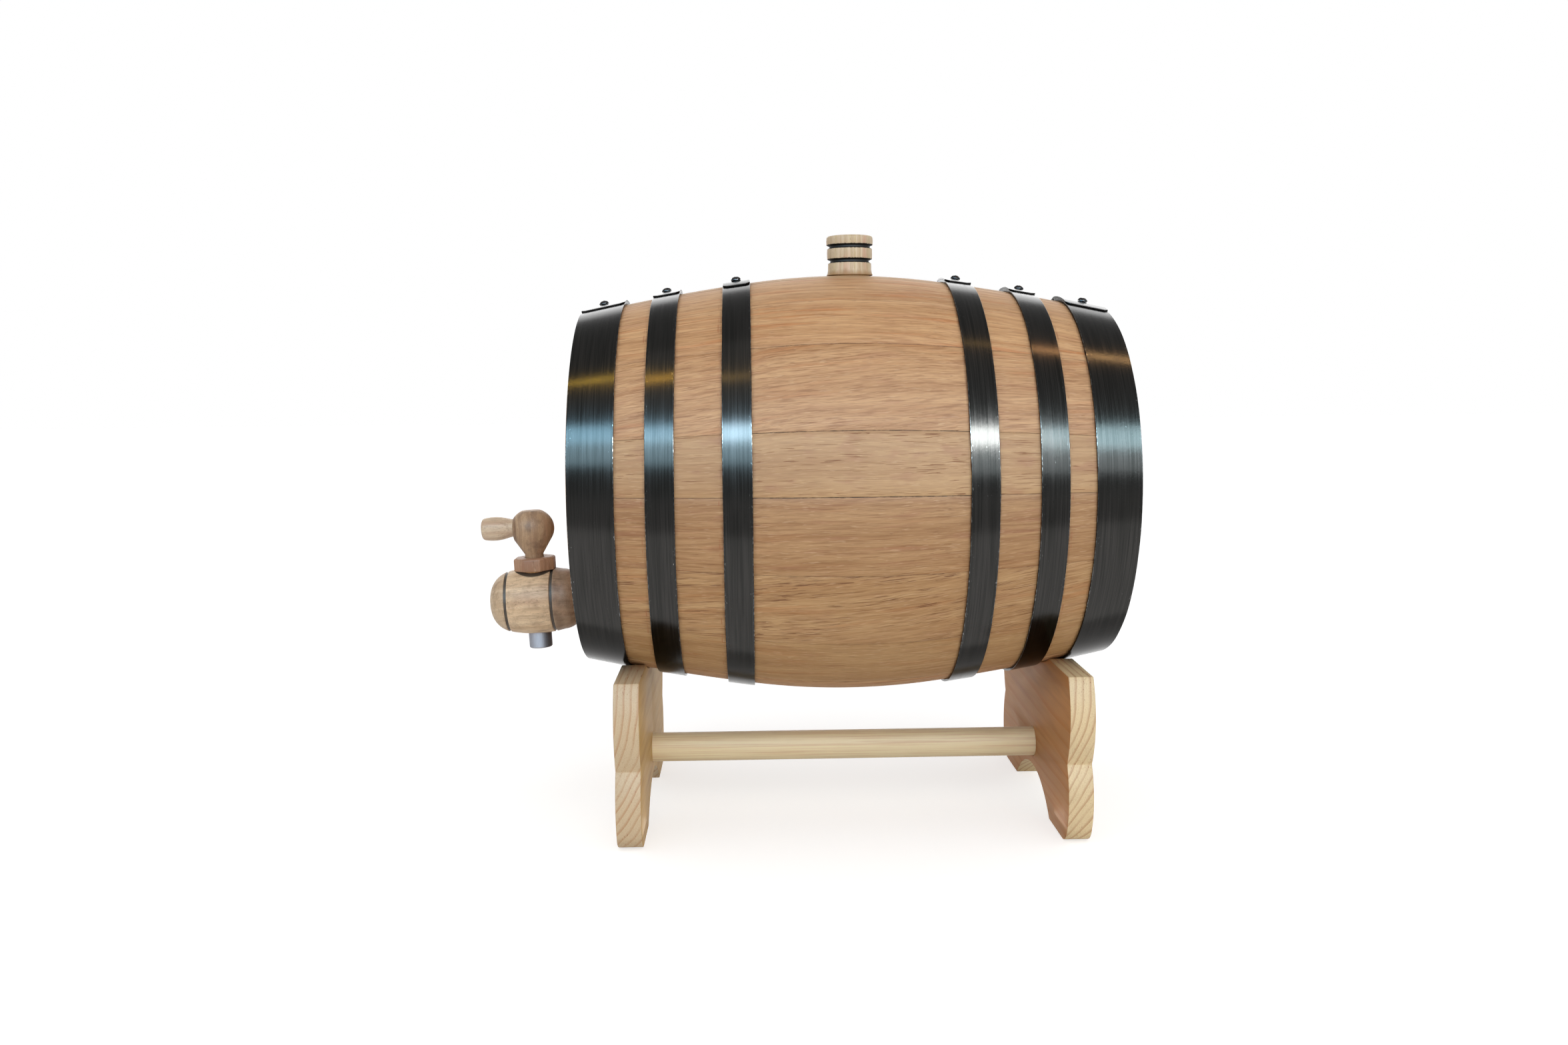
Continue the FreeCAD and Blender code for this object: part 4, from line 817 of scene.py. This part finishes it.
# ---------------------------------------------------------------- the cask

def stave_places():
    """Name, middle and half width of each stave round the cask, in degrees."""
    start = -STAVE_SHARES[0] / 2
    for index, share in enumerate(STAVE_SHARES):
        yield ("stave_%02d" % index if index else "bung_stave"), index, start + share / 2, share / 2
        start += share


INNER = -12.2                   # inner face of a stave, straight in from its outer face
CROZE = INNER + 3.2
STAVE_END = ((110, INNER), (110, CROZE), (114, CROZE), (114, INNER), (126, INNER),
             (130, INNER + 4.1), (130, 0))
ARRIS = 0.14                    # how far the edges of staves and hoops are rounded
WORN_ACROSS, WORN_DOWN = 0.6, 0.8       # how far the wear at a joint reaches
WORN_BULGE = 50.0               # the joints are worn most between here and the other half


def round_from(vert, middle):
    """Degrees round the cask from a middle to a point, from -180 to 180."""
    turn = math.degrees(math.atan2(-vert.co.y, vert.co.z)) % 360
    return (turn - middle + 180) % 360 - 180


def wear_joints(bm, index, middle, half):
    """The arrises at the joints are worn unevenly, and no two staves stand quite alike."""
    low = 0.1 * noise.random()
    for vert in bm.verts:
        x, r = vert.co.x, math.hypot(vert.co.y, vert.co.z)
        off = round_from(vert, middle)
        depth = low if r > stave_r(x) - 2 else 0.0
        if math.radians(half - abs(off)) * r < WORN_ACROSS and r > stave_r(x) - WORN_DOWN:
            lower = off > 0
            opened = JOINTS_OPEN[index if lower else index - 1]
            opened *= 1.0 if abs(x) < WORN_BULGE else 0.4
            wear = noise.noise((x / 7, index * 5.3 + lower, 0))
            wear += 0.6 * noise.noise((x / 1.7, lower, index))
            depth += max(0.0, 0.10 + 0.4 * wear) * opened
        vert.co.yz = vert.co.yz * ((r - depth) / r)


def bent_stave(index, middle, half):
    """A plank with croze and chime at both ends, bent to the cask and as wide as its share."""
    bm = bmesh.new()
    edges = section(bm, STAVE_END + tuple((-x, height) for x, height in reversed(STAVE_END)))
    bmesh.ops.subdivide_edges(bm, edges=[edge for edge in edges if edge.calc_length() > 200],
                              cuts=64)
    for vert in bm.verts:
        vert.co.z += stave_r(vert.co.x)
    bmesh.ops.contextual_create(bm, geom=bm.edges[:])
    half -= math.degrees(JOINT_GAP / 2 / BULGE_R)
    turned_by(bm, middle - half, "X")
    bmesh.ops.spin(bm, geom=bm.verts[:] + bm.edges[:] + bm.faces[:], cent=(0, 0, 0),
                   axis=(1, 0, 0), angle=math.radians(2 * half), steps=10)
    bmesh.ops.remove_doubles(bm, verts=bm.verts[:], dist=FINE)
    bmesh.ops.recalc_face_normals(bm, faces=bm.faces[:])
    bevel_edges(bm, [edge for edge in bm.edges if edge.calc_face_angle() > 1 and all(
        math.hypot(vert.co.y, vert.co.z) > stave_r(vert.co.x) - 0.05 for vert in edge.verts)],
        ARRIS)
    wear_joints(bm, index, middle, half)
    return bm


def with_bung_hole(piece):
    """Drills the tapered hole for the bung through its stave."""
    drill = turning(((0, -17), (9.0, -17), (10.6, 3), (0, 3)), 0.01)
    cutter = linked("drill", in_place(drill, "drill", BUNG_AT))
    cut = piece.modifiers.new("bung_hole", "BOOLEAN")
    cut.operation, cut.solver, cut.object = "DIFFERENCE", "EXACT", cutter
    bpy.context.view_layer.update()
    depsgraph = bpy.context.evaluated_depsgraph_get()
    holed = bpy.data.meshes.new_from_object(piece.evaluated_get(depsgraph))
    piece.modifiers.clear()
    piece.data = holed
    bpy.data.objects.remove(cutter)


HOOP_GAUGE = 1.2
HOOP_PLAY = 0.15                # a hoop's distance from the wood
LAP_LENGTH = 25.0
LAP_RISE = 7.0                  # over this length the lap climbs onto the strip below it
LAP_TAPER = 9.0                 # over this length its end thins, by a share of the gauge
LAP_THINNED = 0.4
LAP_CLIP = 2.2                  # so much of its corners is clipped


def hoop_radii(middle, width):
    """Inner radius of a hoop at its edges towards -X and +X."""
    return [stave_r(middle + side * width / 2) + HOOP_PLAY for side in (-1, 1)]


def flat_strip(width, length):
    """A strip with rounded edges along Y, cut across where it will bend."""
    bm = bmesh.new()
    top = HOOP_GAUGE - 0.01
    section(bm, ((-width / 2, 0), (width / 2, 0), (width / 2, top), (-width / 2, top)))
    bmesh.ops.contextual_create(bm, geom=bm.edges[:])
    bevel_corners(bm, bm.verts[:], ARRIS, 2)
    drawn = bmesh.ops.extrude_face_region(bm, geom=bm.faces[:])["geom"]
    bmesh.ops.translate(bm, vec=(0, length, 0),
                        verts=[part for part in drawn if isinstance(part, bmesh.types.BMVert)])
    bmesh.ops.subdivide_edges(bm, edges=[edge for edge in bm.edges
                                         if edge.calc_length() > length / 2],
                              cuts=240, use_grid_fill=True)
    for back in (LAP_CLIP, 0.3):
        bmesh.ops.bisect_plane(bm, geom=bm.verts[:] + bm.edges[:] + bm.faces[:],
                               plane_co=(0, length - back, 0), plane_no=(0, 1, 0))
    return bm


def rolled_hoop(middle, width, lap_turn):
    """A flat strip, rolled round the cask and lapped over its own end towards -Y."""
    near_r, far_r = hoop_radii(middle, width)
    hoop_r = (near_r + far_r) / 2
    lap = LAP_LENGTH / hoop_r
    length = (math.tau + lap) * hoop_r
    rise_from = math.tau - lap / 2 - LAP_RISE / hoop_r
    end_middle = HOOP_GAUGE * (1 - LAP_THINNED) / 2
    bm = flat_strip(width, length)
    for vert in bm.verts:
        x, along, up = vert.co
        clipped = max(0.0, along - (length - LAP_CLIP))
        up *= 1 - LAP_THINNED * min(1.0, max(0.0, (along - length + LAP_TAPER) / LAP_TAPER))
        x *= 1 - clipped / (width / 2)
        if clipped > 2.0:
            up = end_middle + (up - end_middle) * 0.8
        turn = along / hoop_r - lap / 2
        rise = min(1.0, max(0.0, (turn - rise_from) * hoop_r / LAP_RISE))
        rise = rise * rise * (3 - 2 * rise)
        r = near_r + (far_r - near_r) * (x / width + 0.5) + up + rise * HOOP_GAUGE
        uneven = noise.noise((turn * 5, middle, x)) * 0.15
        around = turn + math.radians(lap_turn)
        vert.co = (middle + x + uneven, -r * math.sin(around), r * math.cos(around))
    return bm


RIVET_SEAT = 2 * HOOP_GAUGE     # the lap's outer face, above the hoop's inner one
RIVET_HEAD = ((0, -2), (1.5, -2), (1.5, 0.05), (2.5, 0.05), (2.5, 0.65), (2.05, 1.3),
              (1.4, 1.72), (0.7, 1.92), (0, 1.94))


def hammered_rivet(middle, width, lap_turn, seed):
    """A set rivet's head, with a few flats from the hammer."""
    near_r, far_r = hoop_radii(middle, width)
    bm = turning([(out, RIVET_SEAT + up) for out, up in RIVET_HEAD], 0.25, 28)
    for vert in bm.verts:
        if vert.co.z > RIVET_SEAT + 0.3:
            dent = noise.noise(vert.co * 0.7 + Vector((seed * 9, 0, 0)))
            vert.co.z -= max(0.0, dent) * 0.35
            vert.co.xy *= 1 - max(0.0, -dent) * 0.12
    turned_by(bm, -math.degrees(math.atan2(far_r - near_r, width)), "Y")
    bmesh.ops.translate(bm, vec=(middle, 0, (near_r + far_r) / 2), verts=bm.verts[:])
    turned_by(bm, lap_turn, "X")
    return bm


def make_cask():
    for name, index, middle, half in stave_places():
        piece = finished(bent_stave(index, middle, half), name,
                         stave_wood(index, middle, half), CASK, sharp=30)
        if name == "bung_stave":
            with_bung_hole(piece)
    for seed, (name, hoop) in enumerate(HOOPS.items()):
        middle, width, _ = hoop
        steel = hoop_steel(name, middle, width)
        finished(rolled_hoop(*hoop), name + "_hoop", steel, CASK, sharp=15)
        finished(hammered_rivet(*hoop, seed), name + "_rivet", rivet_steel(name), CASK)
    for end, first_seed in (("front", 30.0), ("rear", 37.0)):
        for board in range(1, 6):
            node = "%s_head_board_%d" % (end, board)
            finished(eased_copy(node, 0.4), node, head_oak(node, first_seed + board))
        dress(end + "_head_dowels", dowel_wood(end + "_dowel_wood"))


# ---------------------------------------------------------------- bung and tap

BUNG_SHAPE = (
    (0, -19), (7.4, -19), (8.7, -17.8), (10, 0), (10, 0.3), (11.7, 0.3), (11.2, 1.4),
    (10.95, 3.2), (10.9, 6.2), (9.7, 6.9), (9.7, 7.7), (11.3, 8.4), (11.4, 11), (11.35, 13.4),
    (10.2, 14.0), (10.2, 14.8), (11.65, 15.4), (11.75, 17.5), (11.6, 19.1), (11.0, 19.7),
    (0, 19.7))
LEVER_SHAPE = (
    (0, -25.5), (4.1, -25.5), (5.3, -24.9), (5.75, -23.4), (6.05, -20.8), (6.1, -18.2),
    (5.8, -15.4), (5.2, -12.8), (4.65, -10.8), (4.4, -8.5), (0, -8.5))
# heights above the tap's axis, and how much fuller the ball is than its node
LEVER_UP = 38.2
NECK_TOP = 25.0
BALL_TOP = 46.69
BALL_SWELL, BALL_LIFT = 0.085, 0.6
KEY_LEAN = Matrix.Rotation(math.radians(-TAP_DROOP), 3, "Y")


def fuller_ball(bm):
    """Swells the key's ball above its neck and turns its top flat."""
    for vert in bm.verts:
        place = KEY_LEAN.transposed() @ (vert.co - TAP / MM)
        swell = min(1.0, max(0.0, (place.z - NECK_TOP) / 6.0))
        place.xy *= 1 + BALL_SWELL * swell
        place.z = min(place.z + BALL_LIFT * swell, BALL_TOP)
        vert.co = KEY_LEAN @ place + TAP / MM
    return bm


def turned_lever():
    """A grip that swells from the neck in the ball and ends in a rounded face."""
    bm = turning(LEVER_SHAPE, 0.5, axis="x")
    bmesh.ops.translate(bm, vec=(0, 0, LEVER_UP), verts=bm.verts[:])
    turned_by(bm, -TAP_DROOP, "Y")
    return bm


def make_bung():
    finished(turning(BUNG_SHAPE, 0.3, 72), "bung", bung_wood(), BUNG_AT)


def make_tap():
    finished(eased_copy("tap_body", 0.25), "tap_body", tap_wood())
    finished(eased_copy("tap_collar", 0.35), "tap_collar", collar_wood())
    finished(turned_lever(), "tap_lever", lever_wood(), TAP)
    finished(fuller_ball(eased_copy("tap_key", 0.25)), "tap_key", key_wood())
    dress("tap_cork_sleeve", cork())
    dress("tap_nozzle", spout_aluminium())


# ---------------------------------------------------------------- stand

# where the middle of each board's tree was, its grain, the tone of its edges and of its two sides;
# the tone of the inner side, +X on the front board and -X on the rear one, holds painted shade
STAND_BOARDS = {
    "front_stand_board": ((-84.0, 78.0), 2.0, tone(217, 195, 161),
                          (tone(220, 180, 132), tone(208, 165, 84))),
    "rear_stand_board": ((-92.0, 84.0), 8.0, tone(235, 213, 170),
                         # the rear board's inner side, towards -X, is darkest and most orange, as
                         # painted shade
                         (tone(190, 114, 24), tone(216, 168, 118))),
}
STRETCHER_UP = 0.029            # the middle of the stretcher's finish above the floor, in metres


def make_stand():
    for node, (heart, seed, pale, faces) in STAND_BOARDS.items():
        corner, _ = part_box(node)
        wood = pine("pine_of_" + node, (corner.x, 0, 0), heart, seed, pale, faces=faces)
        finished(eased_copy(node, 0.45), node, wood)
    # the stretcher's pine is paler than the boards': partly its own tone, partly painted light that
    # lifts it out of the cask's shade
    dress("stretcher", pine("pine_of_stretcher", (CASK.x, 0, STRETCHER_UP), (9.0, 38.0), 5.0,
                            tone(255, 239, 200), "x", rings=0.2, streaks=0.3))


noise.seed_set(5)
make_cask()
make_bung()
make_tap()
make_stand()
set_camera()
set_sky()
set_light()
set_floor()
bpy.context.scene.view_settings.view_transform = "Standard"
